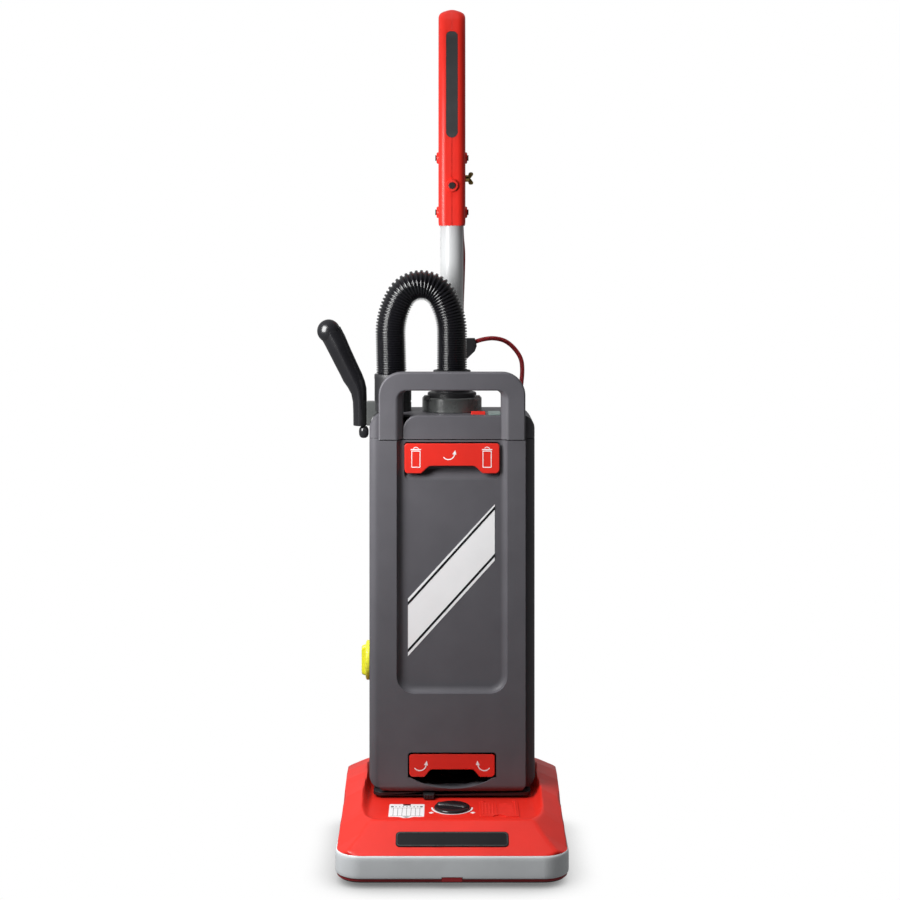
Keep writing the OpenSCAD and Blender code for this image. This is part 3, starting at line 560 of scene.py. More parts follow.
# deck graphics: scale ring, diamonds and the setting chart
LABEL_Z = 78.05
LABEL = (LABEL_Z, LABEL_Z + 0.35)
PRINT = (LABEL_Z + 0.3, LABEL_Z + 0.45)
ring = prism("deck_labels_look", circle(0, 3, 30.2, 96), *LABEL, "z")
cut(ring, prism("tool", circle(0, 4.8, 27.8, 96), 70, 90, "z"), box("tool", -40, 40, 5, 60, 70, 90))
for side in (-1, 1):
    diamond = prism("tool", circle(0, 0, 3.9, 4), *LABEL, "z")
    diamond.data.transform(Matrix.Translation((side * 0.0298, -0.0185, 0)))
    add(ring, diamond)
ring.data.transform(Matrix.Translation((0, KNOB_Y * MM, 0)))
chart = prism("tool", rounded(-91, -40, -79, -22, 2, 2), *LABEL, "z")
tongue = prism("tool", [(-78, -78), (-69, -84), (-62, -84), (-53, -78)], *LABEL, "z")
add(chart, tongue)
add(ring, chart)
finish(ring, "label", "head", "deck_labels")


def join(name, parts):
    """One object from many loose parts."""
    bm = bmesh.new()
    for part in parts:
        bm.from_mesh(part.data)
        bpy.data.objects.remove(part)
    mesh = bpy.data.meshes.new(name)
    bm.to_mesh(mesh)
    bm.free()
    obj = bpy.data.objects.new(name, mesh)
    bpy.context.scene.collection.objects.link(obj)
    return obj


marks = []
for i in range(1, 8):
    x = -91 + 51 * i / 8
    marks.append(box("tool", x - 0.25, x + 0.25, -75, -40, *PRINT))
for y in (-40, -75):
    marks.append(box("tool", -88, -43, y - 0.3, y + 0.3, *PRINT))
for i in range(9):
    x = -86.5 + 5.25 * i
    size = 2.0 if i in (0, 8) else 1.0
    marks.append(box("tool", x - size, x + size, -34 - size, -34 + size, *PRINT))
marks.append(box("tool", -71, -60, -28.6, -22.4, *PRINT))
marks.append(prism("tool", [(-71, -78.6), (-60, -78.6), (-65.5, -83)], *PRINT, "z"))
finish(join("deck_chart_marks", marks), "black_plastic", "head", mat="label_ink")

service = soften(prism("service_cover_look", rounded(40, 96, -80, -8, 3, 3), LABEL_Z, LABEL_Z + 1.3, "z"),
                 0.5)
cut(service, prism("tool", circle(68, -82, 9.5), 70, 90, "z"))
rib_z = LABEL_Z + 1.0
ribs = []
for row in range(8):
    for column in range(4):
        ribs.append(turned("tool", [(1.6, rib_z), (1.3, LABEL_Z + 1.7), (0.5, LABEL_Z + 1.95)],
                           (44.5 + 4.8 * column, -66 + 6.0 * row, 0), steps=10))
for x in (64, 92):
    ribs.append(soften(box("tool", x - 0.8, x + 0.8, -74, -14, rib_z, LABEL_Z + 1.9), 0.3, 2))
for row in range(8):
    y = -66 + 6.0 * row
    ribs.append(soften(box("tool", 68, 88, y - 1, y + 1, rib_z, LABEL_Z + 1.6), 0.3, 2))
for x in (45, 91):
    ribs.append(turned("tool", [(2.6, rib_z), (2.6, LABEL_Z + 1.9), (1.8, LABEL_Z + 2.2),
                                (0.3, LABEL_Z + 2.2)], (x, -12.0, 0), steps=24))
finish(service, "red_shell", "head", "service_cover")
finish(join("service_cover_studs", ribs), "red_shell", "head")

# wheels and rollers, with the rear axles' y and z and the rollers' centre
WHEEL_AT = (118, 26)
ROLLER_AT = (0, -50, 12)
for name, x in (("left", -142), ("right", 142)):
    out = math.copysign(1, x)
    rim_profile = [(4.1, -8), (24.4, -8), (25.6, -7.2), (26, -5.8), (26, -2.2), (25.2, -1.4), (25.2, -0.6),
                   (26, 0.2), (26, 5.8), (25.6, 7.2), (24.4, 8), (18.6, 8), (17.8, 5.2), (9, 5.2),
                   (8, 7.4), (4.1, 7.6)]
    wheel = lathe("wheel_" + name + "_look", [(r, out * h) for r, h in rim_profile], (x, *WHEEL_AT), "x")
    finish(wheel, "rubber", "wheel_" + name, "rear_wheel_" + name, angle=30)
rollers = []
for x in (-80, 80):
    rollers.append(turned("tool", [(2.9, x - 15.9), (2.9, x - 10.4), (10.4, x - 10.4), (11.4, x - 9.6),
                                   (11.8, x - 8), (11.8, x + 8), (11.4, x + 9.6), (10.4, x + 10.4),
                                   (2.9, x + 10.4), (2.9, x + 15.9)],
                          ROLLER_AT, "x"))
finish(join("front_rollers_look", rollers), "rubber", "rollers", "front_rollers", angle=30)

# pedal spring: a coil
coil = [(-140 + 3 * math.cos(a), 140 + 3 * math.sin(a), 57.9 + 14.3 * a / (8 * math.pi))
        for a in [8 * math.pi * i / 160 for i in range(161)]]
spring = sweep("pedal_spring_look", coil, 0.6, 10)
finish(spring, "steel", "head", "pedal_spring")
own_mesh(spring)

# brush tufts
BRUSH_Y, BRUSH_Z, BRUSH_R = -100, 27, 16.6
random.seed(7)
tufts = []
for strip in range(6):
    for i in range(30):
        x = -114.5 + i * 7.0
        angle = math.radians(strip * 60)
        lean = random.uniform(-0.7, 0.7)
        loops = []
        for r, size in ((BRUSH_R, 1.35), (22, 1.45), (25.6, 1.45)):
            loop = []
            for j in range(7):
                a = 2 * math.pi * j / 7
                u = x + size * 1.6 * math.cos(a) + lean * (r - BRUSH_R) / 9
                t = size * 0.9 * math.sin(a)
                loop.append((u, BRUSH_Y + r * math.cos(angle) - t * math.sin(angle),
                             BRUSH_Z + r * math.sin(angle) + t * math.cos(angle)))
            loops.append(loop)
        tufts.append(loft("tool", loops))
finish(join("bristle_tufts", tufts), "bristle", "brush", "bristle_strips", angle=30)


# ---------------------------------------------------------------- housing
def recess_cutter(name):
    """Sunken panel of the door: its sides drop steeply, then run out into the floor in a fillet."""
    loops = [[(u, -1.2, v) for u, v in rounded(-81.8, 81.8, 233.5, 640, 26.3, 1, 14)]]
    for i in range(9):
        a = math.pi / 2 * i / 8
        shrink = 1 - math.cos(a)
        half = 81.5 - 10.5 * shrink
        loops.append([(u, 9 * math.sin(a), v)
                      for u, v in rounded(-half, half, 233.8 + 10.7 * shrink, 640, 26 - 9 * shrink, 1, 14)])
    return loft(name, loops)


def door_blank(name):
    side = [(0, 605.6)] + arc(11, 99, 11, 180, 360, 24) + [(22, 605.6)]
    blank = prism(name, side, -108, 108, "x")
    return keep(blank, prism("tool", rounded(-108, 108, 88, 605.6, 14, 0.6, 12), -5, 30, "y"))


door = door_blank("front_door_look")
hollow = box("tool", -105, 105, 3, 40, 99, 603)
cut(hollow, box("tool", -85, 85, 0, 12, 228, 607), box("tool", -75, 75, 0, 21, 548, 607))
smile_low = [(-65, 110)] + [(125 * math.sin(a), 219 - 125 * math.cos(a)) for a in
                            [math.radians(-29.2 + 58.4 * i / 32) for i in range(33)]] + [(65, 110)]
cut(door, hollow, recess_cutter("tool"),
    keep(prism("tool", rounded(-70.6, 70.6, 547, 603, 9, 4.5), -1, 19, "y"),
         prism("tool", [(-5, 540), (8.9, 540), (10.5, 549), (19, 562), (19, 610), (-5, 610)],
               -90, 90, "x")),
    prism("tool", smile_low + [(65, 120), (-65, 120)], -5, 30, "y"),
    prism("tool", rounded(-65, 65, 109.5, 147.5, 3, 5), -5, 30, "y"))
for side in (-1, 1):
    x = side * 97
    cut(door, box("tool", x - 3.5, x + 3.5, 4, 30, 83, 108))
soften(door, 1.1, 3, 30)
finish(door, "grey_shell", "door", "front_door", angle=40)

band = prism("door_label_look", [(-65, 287), (63, 428), (63, 511), (-65, 372)], 8.55, 8.95, "y")
finish(band, "label", "door", "door_label")
stripes = []
for z in (295.0, 364.5):
    stripes.append(prism("tool", [(-65, z - 2.4), (63, z + 138.6), (63, z + 143.4), (-65, z + 2.4)],
                         8.4, 8.6, "y"))
finish(join("door_label_stripes", stripes), "black_plastic", "door", mat="label_ink")


def ribbon(points, width, y0, y1):
    """Flat strip of constant width along a path in X and Z, between two depths."""
    left, right = [], []
    for i, (x, z) in enumerate(points):
        ax, az = points[max(i - 1, 0)]
        bx, bz = points[min(i + 1, len(points) - 1)]
        length = math.hypot(bx - ax, bz - az)
        nx, nz = -(bz - az) / length * width / 2, (bx - ax) / length * width / 2
        left.append((x + nx, z + nz))
        right.append((x - nx, z - nz))
    return prism("tool", left + right[::-1], y0, y1, "y")


def swoosh(cx, cz, size, flip, y0, y1):
    """Curved arrow that sweeps down and up."""
    path = [(cx + flip * x, z) for x, z in arc(0, cz, size, 215, 350, 16)]
    shaft = ribbon(path, size * 0.16, y0, y1)
    tip_x, tip_z = path[-1]
    head = prism("tool", [(tip_x - size * 0.34, tip_z + size * 0.05),
                          (tip_x + size * 0.30, tip_z - size * 0.02),
                          (tip_x + flip * size * 0.10, tip_z + size * 0.72)], y0, y1, "y")
    return [shaft, head]


def latch_plate(name, half_w, z0, z1, notch, ease_w, notch_z, y0, y1):
    """Rounded plate with a notch below: notch is its half width at notch_z, ease_w its widening to z0."""
    plate = prism(name, rounded(-half_w, half_w, z0, z1, 6, 4, 8), y0, y1, "y")
    notch_side = []
    for t in range(9):
        s = t / 8
        ease = s * s * (3 - 2 * s)
        notch_side.append((notch + ease_w * (1 - s), z0 - 1 + (notch_z - z0 + 1) * ease))
    outline = [(-x, z) for x, z in notch_side] + notch_side[::-1]
    cut(plate, prism("tool", outline, y0 - 1, y1 + 1, "y"))
    return soften(plate, 1.2, 3, 30)


LATCH_PIN, LOWER_PIN = (0, 13, 596), (0, 14, 138)
LATCH_PRINT, LOWER_PRINT = (3.86, 4.02), (0.86, 1.02)
latch = latch_plate("door_latch_look", 70, 557, 601, 31, 18, 568, 4, 9)
add(latch, turned("tool", [(4, -69), (4, 69)], LATCH_PIN, "x"),
    box("tool", -68.9, 68.9, 7.5, 13, 593, 599.8))
cut(latch, turned("tool", [(2.05, -75), (2.05, 75)], LATCH_PIN, "x"))
finish(latch, "red_shell", "latch", "door_latch", angle=35)

marks = []
for cx in (-53.2, 51.6):
    outer = prism("tool", rounded(cx - 6.6, cx + 6.6, 565.6, 590.6, 1.2, 0.6, 4), *LATCH_PRINT, "y")
    cut(outer, prism("tool", rounded(cx - 5.5, cx + 5.5, 566.8, 589.4, 0.8, 0.4, 4), 3, 5, "y"))
    marks.append(outer)
    marks.append(ribbon([(cx - 7.6, 592.2), (cx + 7.6, 592.2)], 1.5, *LATCH_PRINT))
    marks.append(ribbon([(cx + 3.4 * math.cos(a), 593.2 + 2.6 * math.sin(a)) for a in
                         [math.pi * i / 10 for i in range(11)]], 1.1, *LATCH_PRINT))
marks += swoosh(-5.2, 586.5, 9.0, 1, *LATCH_PRINT)
finish(join("door_latch_marks", marks), "label", "latch")

lower = latch_plate("disconnect_latch_look", 63, 111, 144.5, 29.5, 14, 122, 1, 6)
add(lower, turned("tool", [(4, -57.4), (4, 57.4)], LOWER_PIN, "x"),
    box("tool", -57.4, 57.4, 5, 14, 135, 141.8), turned("tool", [(2, -61), (2, 61)], LOWER_PIN, "x"))
finish(lower, "red_shell", "disconnect", "disconnect_latch", angle=35)
marks = swoosh(-47.5, 130, 9.5, 1, *LOWER_PRINT) + swoosh(47.5, 130, 9.5, -1, *LOWER_PRINT)
finish(join("disconnect_latch_marks", marks), "label", "disconnect")


# centres of the wand's port, of the hose's collar and of the clean-out cap
PORT, COLLAR = (-91, 90, 0), (0, 85, 0)
CLEANOUT = (0, 85, 264)


def body_plan(inset, z):
    """The body's plan outline, drawn in by inset, at height z."""
    return [(x, y, z) for x, y in
            rounded(-123 + inset, 123 - inset, 22.4 + inset, 150 - inset, 12 - inset, 34 - inset, 14)]


cap = loft("top_cap_look", [body_plan(0, 607), body_plan(0, 670)])
keep(cap, prism("tool", rounded(-123, 123, 570, 642, 2, 22, 14), 0, 170, "y"))
soften(cap, 3.0, 4, 30)
inner = loft("tool", [body_plan(3, 500), body_plan(3, 660)])
keep(inner, prism("tool", rounded(-120, 120, 560, 639, 2, 19, 14), 0, 170, "y"))
port_wall = turned("tool", [(22.5, 560), (22.5, 660)], PORT)
cut(inner, port_wall, box("tool", -130, 130, 20, 26, 500, 700))
shoulder = [(-72.5 + 22 - 22 * math.cos(a), 620 + 22 * math.sin(a)) for a in
            [math.pi / 2 * i / 14 for i in range(15)]]
face = prism("tool", [(-72.5, 590)] + shoulder + [(78, 642), (78, 590)], 9, 38, "y")
soften(face, 2.4, 4, 30)
cut(face, box("tool", -90, 90, 0, 60, 560, 607))
loop = prism("tool", rounded(-108, 108, 580, 706, 8, 34, 18), 0, 22.9, "y")
opening = loft("tool", [[(u, y, v) for u, v in rounded(-half, half, 560, 679, 1, r, 12)] for y, half, r in
                        ((-1.2, 82.7, 15.0), (0.0, 81.5, 14.0), (9.0, 72.0, 8.0), (24.0, 72.0, 8.0))])
cut(loop, opening)
soften(loop, 2.6, 4, 30)
cut(loop, box("tool", -120, 120, -10, 40, 550, 607))
add(cap, face, loop)
cut(cap, inner, turned("tool", [(19.1, 600), (19.1, 650)], PORT),
    turned("tool", [(24, 600), (24, 650)], COLLAR), box("tool", 28, 50, 23, 51, 636, 650),
    box("tool", -79, 79, 12, 34, 600, 638.5))
finish(cap, "grey_shell", "upright", "top_cap", angle=40)

# clean-out cap: a domed flange with a grip bar across it
stopper = turned("cleanout_cap_look", [
    (21, -115), (24, -115.2), (24, -124), (29, -124.1), (29.5, -124.8), (29.5, -128.4), (28.6, -129.6),
    (26, -130.4), (20, -131), (0.5, -131.4)], CLEANOUT, "x", 96)
bar = loft("tool", [[(x, CLEANOUT[1] + u * k, CLEANOUT[2] + v * k)
                     for u, v in rounded(-5, 5, -23, 23, 4.8, 4.8)]
                    for x, k in ((-129, 1.06), (-133, 1.0), (-135.8, 0.95), (-136.7, 0.88), (-137, 0.76))])
add(stopper, bar)
for i in range(24):
    notch_at = revolved(30.2, 0, i / 24, CLEANOUT, "x")
    cut(stopper, turned("tool", [(1.3, -131), (1.3, -123)], notch_at, "x", 12))
finish(stopper, "yellow", "cleanout", "cleanout_cap", angle=40)

# paper dust bag with soft folds and its card collar
bag_loops = []
for i in range(41):
    t = i / 40
    z = 237 + 322 * t
    pinch = 1 - 0.10 * abs(2 * t - 1) ** 3 - (0.55 * max(0, (t - 0.93) / 0.07) ** 2) - (
        0.35 * max(0, (0.05 - t) / 0.05) ** 2)
    loop = []
    for j in range(96):
        a = 2 * math.pi * j / 96
        c, s = math.cos(a), math.sin(a)
        r = 1 / ((abs(c) ** 5 + abs(s) ** 5) ** 0.2)
        fold = 1 + 0.020 * math.sin(9 * a + 5 * t) + 0.014 * math.sin(23 * t + 2.5 * math.sin(a * 2))
        fold += 0.010 * math.sin(61 * t + 4 * a)
        loop.append((23 + 80 * pinch * fold * r * c, 86 + 50 * pinch * fold * r * s, z))
    bag_loops.append(loop)
bag = loft("dust_bag_look", bag_loops)
cut(bag, turned("tool", [(24.5, 540), (24.5, 600)], COLLAR))
finish(bag, "paper_bag", "upright", "dust_bag", angle=60)

# ---------------------------------------------------------------- hose and wand
collar = lathe("hose_collar_look", [
    (21, 545), (23.9, 545), (23.9, 642.1), (44, 642.1), (45, 643), (45, 661.5), (44.2, 663.2), (43, 664),
    (41.6, 663.4), (41, 662), (41, 645.2), (21, 645)], COLLAR)
finish(collar, "collar", "upright", "hose_collar", angle=40)
lugs = [soften(box("tool", x - 4, x + 4, 55, 68, 660, 667.5), 1.0) for x in (-38, 38)]
finish(join("hose_collar_lugs", lugs), "collar", "upright")

cuff = lathe("hose_cuff_look", [
    (17.5, 645.3), (36.4, 645.3), (37, 646), (37, 669), (36, 670.6), (34, 671.2), (28.4, 671.4),
    (27.2, 673), (26.6, 698), (27.4, 700), (28.4, 701), (28.4, 703.2), (27.6, 704), (24.2, 704),
    (23.4, 703), (23.4, 690), (17.5, 689)], COLLAR)
finish(cuff, "black_plastic", "upright", "hose_cuff", angle=40)


# the hose: two legs, two long shoulders and a tight crown
HALF, SHOULDER, CROWN, HOSE_R, HOSE_Y = 46.6, 110.0, 37.0, 22.9, 85
TURN = math.acos((SHOULDER - HALF) / (SHOULDER - CROWN))
FOOT, BEND, TIP = 690.2, 759.7, 672.2
LEAN = 2 * HALF - 91
RISE = (SHOULDER - CROWN) * math.sin(TURN)
HOSE_LENGTH = 2 * BEND - FOOT - TIP + 2 * SHOULDER * TURN + CROWN * (math.pi - 2 * TURN)


def hose_point(s):
    """Point and direction on the hose's centre line at a distance s from the right leg's foot."""
    if s < BEND - FOOT:
        return (0, HOSE_Y, FOOT + s), (0, 0, 1)
    s -= BEND - FOOT
    if s < SHOULDER * TURN:
        x, z, r, a = -SHOULDER, BEND, SHOULDER, s / SHOULDER
    elif s < SHOULDER * TURN + CROWN * (math.pi - 2 * TURN):
        x, z, r, a = -HALF, BEND + RISE, CROWN, TURN + (s - SHOULDER * TURN) / CROWN
    elif s < 2 * SHOULDER * TURN + CROWN * (math.pi - 2 * TURN):
        a = math.pi - TURN + (s - SHOULDER * TURN - CROWN * (math.pi - 2 * TURN)) / SHOULDER
        x, z, r = SHOULDER - 2 * HALF, BEND, SHOULDER
    else:
        s -= 2 * SHOULDER * TURN + CROWN * (math.pi - 2 * TURN)
        return (-2 * HALF + LEAN * s / (BEND - TIP), HOSE_Y, BEND - s), (0, 0, -1)
    return (x + r * math.cos(a), HOSE_Y, z + r * math.sin(a)), (-math.sin(a), 0, math.cos(a))


hose_loops = []
s = 0.8
while s < HOSE_LENGTH - 2:
    (px, py, pz), (tx, ty, tz) = hose_point(s)
    bend_share = max(0.0, min(1.0, (pz - 748) / 76.0))
    pitch = 3.54 + 1.66 * bend_share
    base, depth = 1.60 + 0.66 * bend_share, 2.6 + 0.6 * bend_share
    for share, drop in ((-1, 1), (-0.74, 0.80), (-0.60, 0.26), (-0.36, 0.05), (0, 0), (0.36, 0.05),
                        (0.60, 0.26), (0.74, 0.80), (1, 1)):
        if not 0 <= s + share * base <= HOSE_LENGTH:
            continue
        point, tangent = hose_point(s + share * base)
        across = Vector((0, 1, 0))
        side = Vector(tangent).cross(across)
        r = HOSE_R - depth * drop
        hose_loops.append([Vector(point) + r * (math.cos(2 * math.pi * j / 40) * across
                                                + math.sin(2 * math.pi * j / 40) * side)
                           for j in range(40)])
    s += pitch
hose = loft("suction_hose_look", hose_loops)
finish(hose, "hose", None, angle=75)
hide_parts("suction_hose")
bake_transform(hose)

wand = join("wand_tube_look", [
    lathe("tool", [(16.5, 500), (18.6, 500), (19, 501), (19, 644), (16.5, 644)], PORT),
    lathe("tool", [(24.6, 642.4), (27.4, 642.4), (28, 643), (28, 655), (27.3, 656), (27.3, 657.4),
                   (28, 658.4), (28, 690), (28.3, 692), (28.3, 696.6), (27.5, 698), (25.4, 698),
                   (24.6, 697)], (-89.6, 86, 0))])
finish(wand, "black_plastic", "wand", "wand_tube", angle=40)

grip_sections = [
    ((-149.4, 619.0), (-130.6, 619.0), 10.6), ((-150.0, 620.0), (-129.6, 620.0), 11.2),
    ((-150.2, 640.0), (-129.4, 640.0), 11.8), ((-150.8, 655.0), (-129.4, 660.0), 12.2),
    ((-153.2, 667.0), (-129.9, 676.0), 12.4), ((-158.5, 677.0), (-132.4, 687.0), 12.6),
    ((-165.0, 686.0), (-136.6, 698.0), 12.8), ((-169.8, 696.0), (-141.8, 709.0), 12.8),
    ((-176.6, 709.0), (-147.6, 721.5), 12.9), ((-186.0, 727.5), (-155.5, 739.0), 13.0),
    ((-194.6, 744.0), (-162.6, 756.0), 13.0), ((-201.4, 755.5), (-170.0, 770.0), 12.8)]
PINCH = 1.4
grip_loops = []
for (x0, z0), (x1, z1), depth in grip_sections:
    loop = []
    for j in range(36):
        a = 2 * math.pi * j / 36
        c, q = math.cos(a), math.sin(a)
        r = 1 / ((abs(c) ** PINCH + abs(q) ** PINCH) ** (1 / PINCH))
        u = 0.5 + 0.5 * r * c
        loop.append((x0 + (x1 - x0) * u, 90 - depth * r * q, z0 + (z1 - z0) * u))
    grip_loops.append(loop)
grip = loft("wand_grip_look", grip_loops)
BALL_R = 17.6
ball = turned("tool", [(max(0.4, BALL_R * math.sin(math.pi * i / 24)), -BALL_R * math.cos(math.pi * i / 24))
                       for i in range(25)], (0, 0, 0), "y", 48)
ball.data.transform(Matrix.Translation((-0.1875, 0.09, 0.763)) @ Matrix.Diagonal((1.0, 0.74, 1.0, 1.0)))
add(grip, ball)
finish(grip, "black_gloss", "wand", "wand_grip", angle=45)

clearance = arc(-101, 620, 22.7, 180, 122, 10)
bracket = prism("grip_bracket_look", [(-129.2, 656), (-129.2, 620)] + clearance + [(-113, 656)],
                78, 102, "y")
soften(bracket, 0.8)
finish(bracket, "collar", "wand", "grip_bracket")

stub = turned("lock_knob_look", [
    (2.5, 632), (2.5, 618.4), (4.6, 618.2), (5.4, 617), (7.0, 614.5), (7.5, 611), (7.3, 606), (6.0, 602.4),
    (3.6, 600.6), (0.4, 600.1)], (-134, 90, 0), "z", 40)
finish(stub, "black_gloss", "wand_knob", "lock_knob", angle=50)

# ---------------------------------------------------------------- handle and cord
GRIP_Z0, GRIP_Z1 = 924.0, 1263.0
GRIP_HALF = 21.1
TUBE_Y = 170
# heights of the side screws, of the front screw and of the wing screw
SCREW_ZS, FRONT_Z, WING_Z = (945, 1030), 986, 998


def grip_shape(z):
    """Half width, front and back of the grip at height z."""
    half = GRIP_HALF
    if z > GRIP_Z1 - 14:
        half = GRIP_HALF * max(0.02, 1 - ((z - GRIP_Z1 + 14) / 14.02) ** 2.6) ** (1 / 2.2)
    if z < GRIP_Z0 + 3:
        half -= 0.35 * (GRIP_Z0 + 3 - z)
    front = line([(924, 149), (1120, 149), (1165, 150.6), (1200, 154), (1230, 158.5), (1247, 163.5),
                  (1258, 170), (1263, 177)], z)
    back = line([(924, 191), (1060, 191.6), (1110, 195), (1150, 200.5), (1190, 205), (1226, 206),
                 (1248, 204), (1258, 199), (1263, 192)], z)
    return half, front, back


def grip_loop(z, inset=0.0):
    """Outline of the grip at height z, drawn in by inset."""
    half, front, back = grip_shape(z)
    half = max(0.3, half - inset)
    r = min(half * 0.97, 12.0)
    return [(x, y, z) for x, y in rounded(-half, half, front + inset, back - inset, r, r, 10)]


heights = [924, 924.6, 926, 930] + list(range(940, 1060, 10)) + list(range(1060, 1230, 6))
heights += [1232, 1238, 1243, 1247, 1250, 1252.5, 1254.8, 1256.8, 1258.5, 1260, 1261.2, 1262.1, 1262.7,
            1263]


def grip_skin(name, inset=0.0):
    return loft(name, [grip_loop(z, inset) for z in heights])


def grip_blank(name):
    blank = grip_skin(name)
    for z in SCREW_ZS:
        add(blank, turned("tool", [(7.6, -24), (8.8, -22.8), (9.2, -21), (9.2, 21), (8.8, 22.8), (7.6, 24)],
                          (0, TUBE_Y, z), "x", 40))
    add(blank, turned("tool", [(8.6, 145.5), (10, 146.8), (10.4, 149.5), (10.4, 160)],
                      (0, 0, FRONT_Z), "y", 40))
    return blank


def pill(name, grow, y0, y1):
    return prism(name, rounded(-9 - grow, 9 + grow, 1061 - grow, 1227 + grow, 8.9, 7.4, 12), y0, y1, "y")


for side, name in ((-1, "left"), (1, "right")):
    half = grip_blank("grip_" + name + "_look")
    groove = keep(grip_skin("tool", -2), pill("tool", 0.25, 130, 171))
    cut(groove, grip_skin("tool", 2.0))
    x0, x1 = (0.03, 60) if side > 0 else (-60, -0.03)
    keep(half, box("tool", x0, x1, 100, 260, 900, 1300))
    seam = keep(grip_skin("tool", -2), box("tool", -0.4, 0.4, 100, 260, 900, 1300))
    cut(seam, grip_skin("tool", 1.3))
    cut(half, groove, seam, turned("tool", [(18.05, 900), (18.05, 1100.2)], (0, TUBE_Y, 0)),
        turned("tool", [(2.6, 130), (2.6, 170)], (0, 0, FRONT_Z), "y", 24),
        turned("tool", [(6.2, 140), (6.2, 145.3)], (0, 0, FRONT_Z), "y", 24))
    for z in SCREW_ZS:
        cut(half, turned("tool", [(2.6, -30), (2.6, 30)], (0, TUBE_Y, z), "x", 24))
    if side > 0:
        cut(half, turned("tool", [(3.05, 10), (3.05, 40)], (0, TUBE_Y, WING_Z), "x", 24))
    finish(half, "red_shell", "upright", "grip_" + name, angle=42)

pad = keep(grip_skin("grip_insert_look", 0.25), pill("tool", 0.0, 130, 171))
cut(pad, grip_skin("tool", 1.9))
finish(pad, "rubber", "upright", "grip_insert", angle=50)

wing = turned("wing_screw_look", [(3, 17), (3, 20.9), (5.2, 21), (5.5, 21.6), (5.2, 25.4), (4.0, 27)],
              (0, TUBE_Y, WING_Z), "x", 32)
for side in (-1, 1):
    blade = prism("tool", [(x, WING_Z + side * rise) for x, rise in (
        (25, 0), (25, 4), (26.6, 9), (29.6, 10), (33, 9), (33.5, 6), (31, 2.5), (29, 0))],
                  168.6, 171.4, "y")
    soften(blade, 0.6, 2, 20)
    add(wing, blade)
finish(wing, "brass", "wing", "wing_screw", angle=35)

cord = sweep("power_cord_look", smooth_path([
    (15, 185.5, 923.6), (15.8, 185.0, 905), (17.6, 183.8, 880), (17.0, 184.2, 845), (15.4, 185.4, 800),
    (15.2, 185.2, 765), (18, 182.5, 745), (26, 176, 737),
    (36, 172.5, 742), (50, 172, 746.2), (66, 172, 747.6), (83, 172, 743.5), (97, 172, 732.5),
    (107.5, 172, 716.5), (110.2, 172, 698), (108.2, 172, 672), (105.4, 171.5, 644), (105.4, 170, 614),
    (107, 166, 590), (108.8, 157, 577.5), (109, 148, 574.3), (109, 136, 574)], 8), 3.5, 14)
finish(cord, "dark_red", "upright", "power_cord", angle=60)

# ---------------------------------------------------------------- stage
floor_mesh = bpy.data.meshes.new("floor")
floor_mesh.from_pydata([(-30, -8, 0), (30, -8, 0), (30, 60, 0), (-30, 60, 0)], [], [(0, 1, 2, 3)])
floor = bpy.data.objects.new("floor", floor_mesh)
bpy.context.scene.collection.objects.link(floor)
floor_mat = bpy.data.materials.new("floor")
floor_mat.use_nodes = True
tree, links = floor_mat.node_tree, floor_mat.node_tree.links
# the floor glows evenly white; an ambient-occlusion node darkens its glow near the object, a painted
# contact shadow
shadow = shader_node(tree, "AmbientOcclusion", Distance=0.06)
shadow.samples = 12
fade = shader_node(tree, "MapRange", From_Min=0.0, From_Max=0.9, To_Min=0.10)
pale = shader_node(tree, "Emission")
links.new(shadow.outputs["AO"], fade.inputs["Value"])
seen = shader_node(tree, "LightPath")
view = shader_node(tree, "MapRange", To_Min=0.22)
links.new(seen.outputs["Is Camera Ray"], view.inputs["Value"])
total = shader_node(tree, "Math")
total.operation = "MULTIPLY"
links.new(fade.outputs["Result"], total.inputs[0])
links.new(view.outputs["Result"], total.inputs[1])
links.new(total.outputs["Value"], pale.inputs["Strength"])
links.new(pale.outputs["Emission"], tree.nodes["Material Output"].inputs["Surface"])
floor_mesh.materials.append(floor_mat)

# the camera sees plain white; the object is lit by a soft gradient, brighter behind, above and on the left
world = bpy.data.worlds.new("studio")
world.use_nodes = True
tree, links = world.node_tree, world.node_tree.links
backdrop = tree.nodes["Background"]
backdrop.inputs["Color"].default_value = (1, 1, 1, 1)
backdrop.inputs["Strength"].default_value = 1.0
glow = shader_node(tree, "Background", Color=(1, 1, 1, 1))
direction = shader_node(tree, "TexCoord")
slant = shader_node(tree, "VectorMath")
slant.operation = "DOT_PRODUCT"
slant.inputs[1].default_value = (-0.26, 0.50, 0.16)
lift = shader_node(tree, "Math")
lift.operation = "ADD"
lift.inputs[1].default_value = 0.31
lift.use_clamp = True
links.new(direction.outputs["Generated"], slant.inputs[0])
links.new(slant.outputs["Value"], lift.inputs[0])
rays = shader_node(tree, "LightPath")
dim = shader_node(tree, "MapRange", To_Min=1.0, To_Max=0.45)
links.new(rays.outputs["Is Glossy Ray"], dim.inputs["Value"])
level = shader_node(tree, "Math")
level.operation = "MULTIPLY"
links.new(lift.outputs["Value"], level.inputs[0])
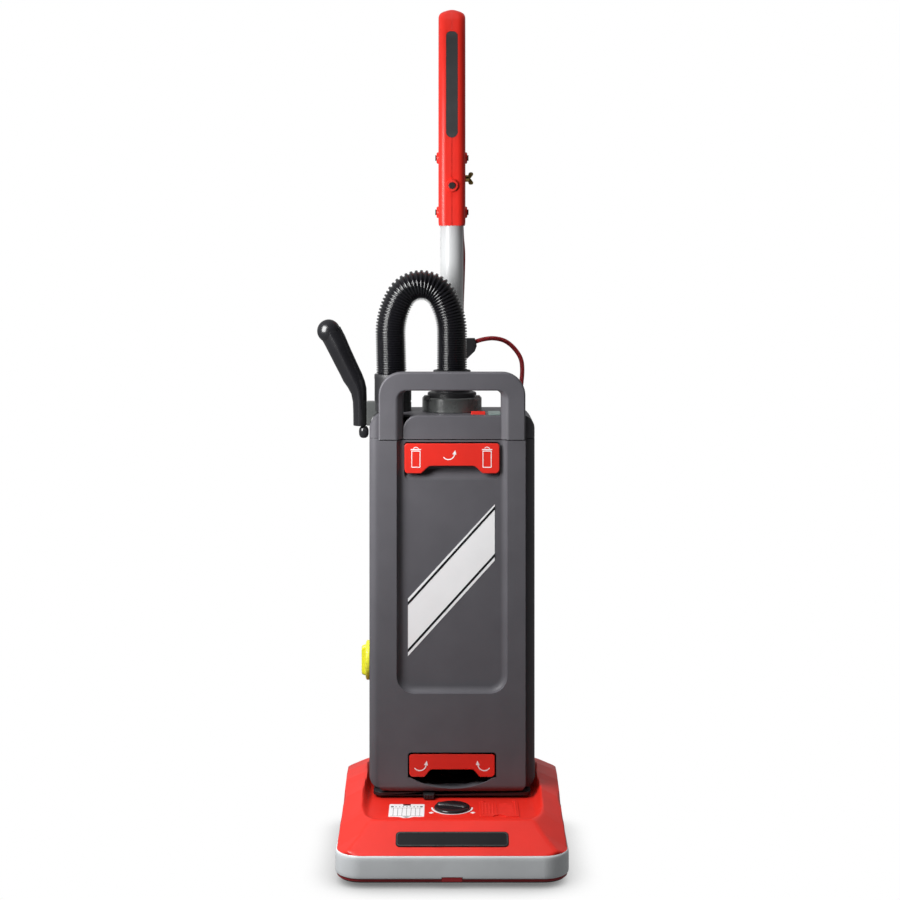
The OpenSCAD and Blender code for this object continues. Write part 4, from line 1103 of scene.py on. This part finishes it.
links.new(dim.outputs["Result"], level.inputs[1])
links.new(level.outputs["Value"], glow.inputs["Strength"])
blend = shader_node(tree, "MixShader")
links.new(rays.outputs["Is Camera Ray"], blend.inputs[0])
links.new(glow.outputs["Background"], blend.inputs[1])
links.new(backdrop.outputs["Background"], blend.inputs[2])
links.new(blend.outputs["Shader"], tree.nodes["World Output"].inputs["Surface"])
bpy.context.scene.world = world
bpy.context.scene.view_settings.view_transform = "Standard"


def softbox(name, place_at, aim, size, power):
    light = bpy.data.lights.new(name, "AREA")
    light.shape = "RECTANGLE"
    light.size, light.size_y = size
    light.energy = power
    obj = bpy.data.objects.new(name, light)
    obj.location = place_at
    obj.rotation_euler = (Vector(aim) - Vector(place_at)).to_track_quat("-Z", "Y").to_euler()
    obj.visible_camera = False
    bpy.context.scene.collection.objects.link(obj)
    return obj


softbox("key", (-0.55, -0.40, 0.90), (0, 0, 0.50), (0.36, 0.50), 10)
softbox("top", (-0.3, -0.2, 3.0), (0, 0, 0.5), (1.4, 1.4), 28).visible_glossy = False

CAMERA_AT = (-0.003, -2.6, 0.886)
LENS_SHIFT = -200 / 900
camera_data = bpy.data.cameras.new("camera")
camera = bpy.data.objects.new("camera", camera_data)
bpy.context.scene.collection.objects.link(camera)
camera.location = CAMERA_AT
camera.rotation_euler = (math.pi / 2, 0, 0)
camera_data.lens = 70.76
camera_data.shift_y = LENS_SHIFT
camera_data.clip_end = 200
bpy.context.scene.camera = camera

# the lens shift belongs to the front view alone: any other viewpoint looks straight at the object
shift = camera_data.driver_add("shift_y")
shift.driver.type = "SUM"
variable = shift.driver.variables.new()
variable.type = "TRANSFORMS"
variable.targets[0].id = camera
variable.targets[0].transform_type = "LOC_Y"
variable.targets[0].transform_space = "WORLD_SPACE"
for modifier in list(shift.modifiers):
    shift.modifiers.remove(modifier)
for step, value in ((-0.02, 0.0), (0.0, LENS_SHIFT), (0.02, 0.0)):
    point = shift.keyframe_points.insert(CAMERA_AT[1] + step, value)
    point.interpolation = "LINEAR"
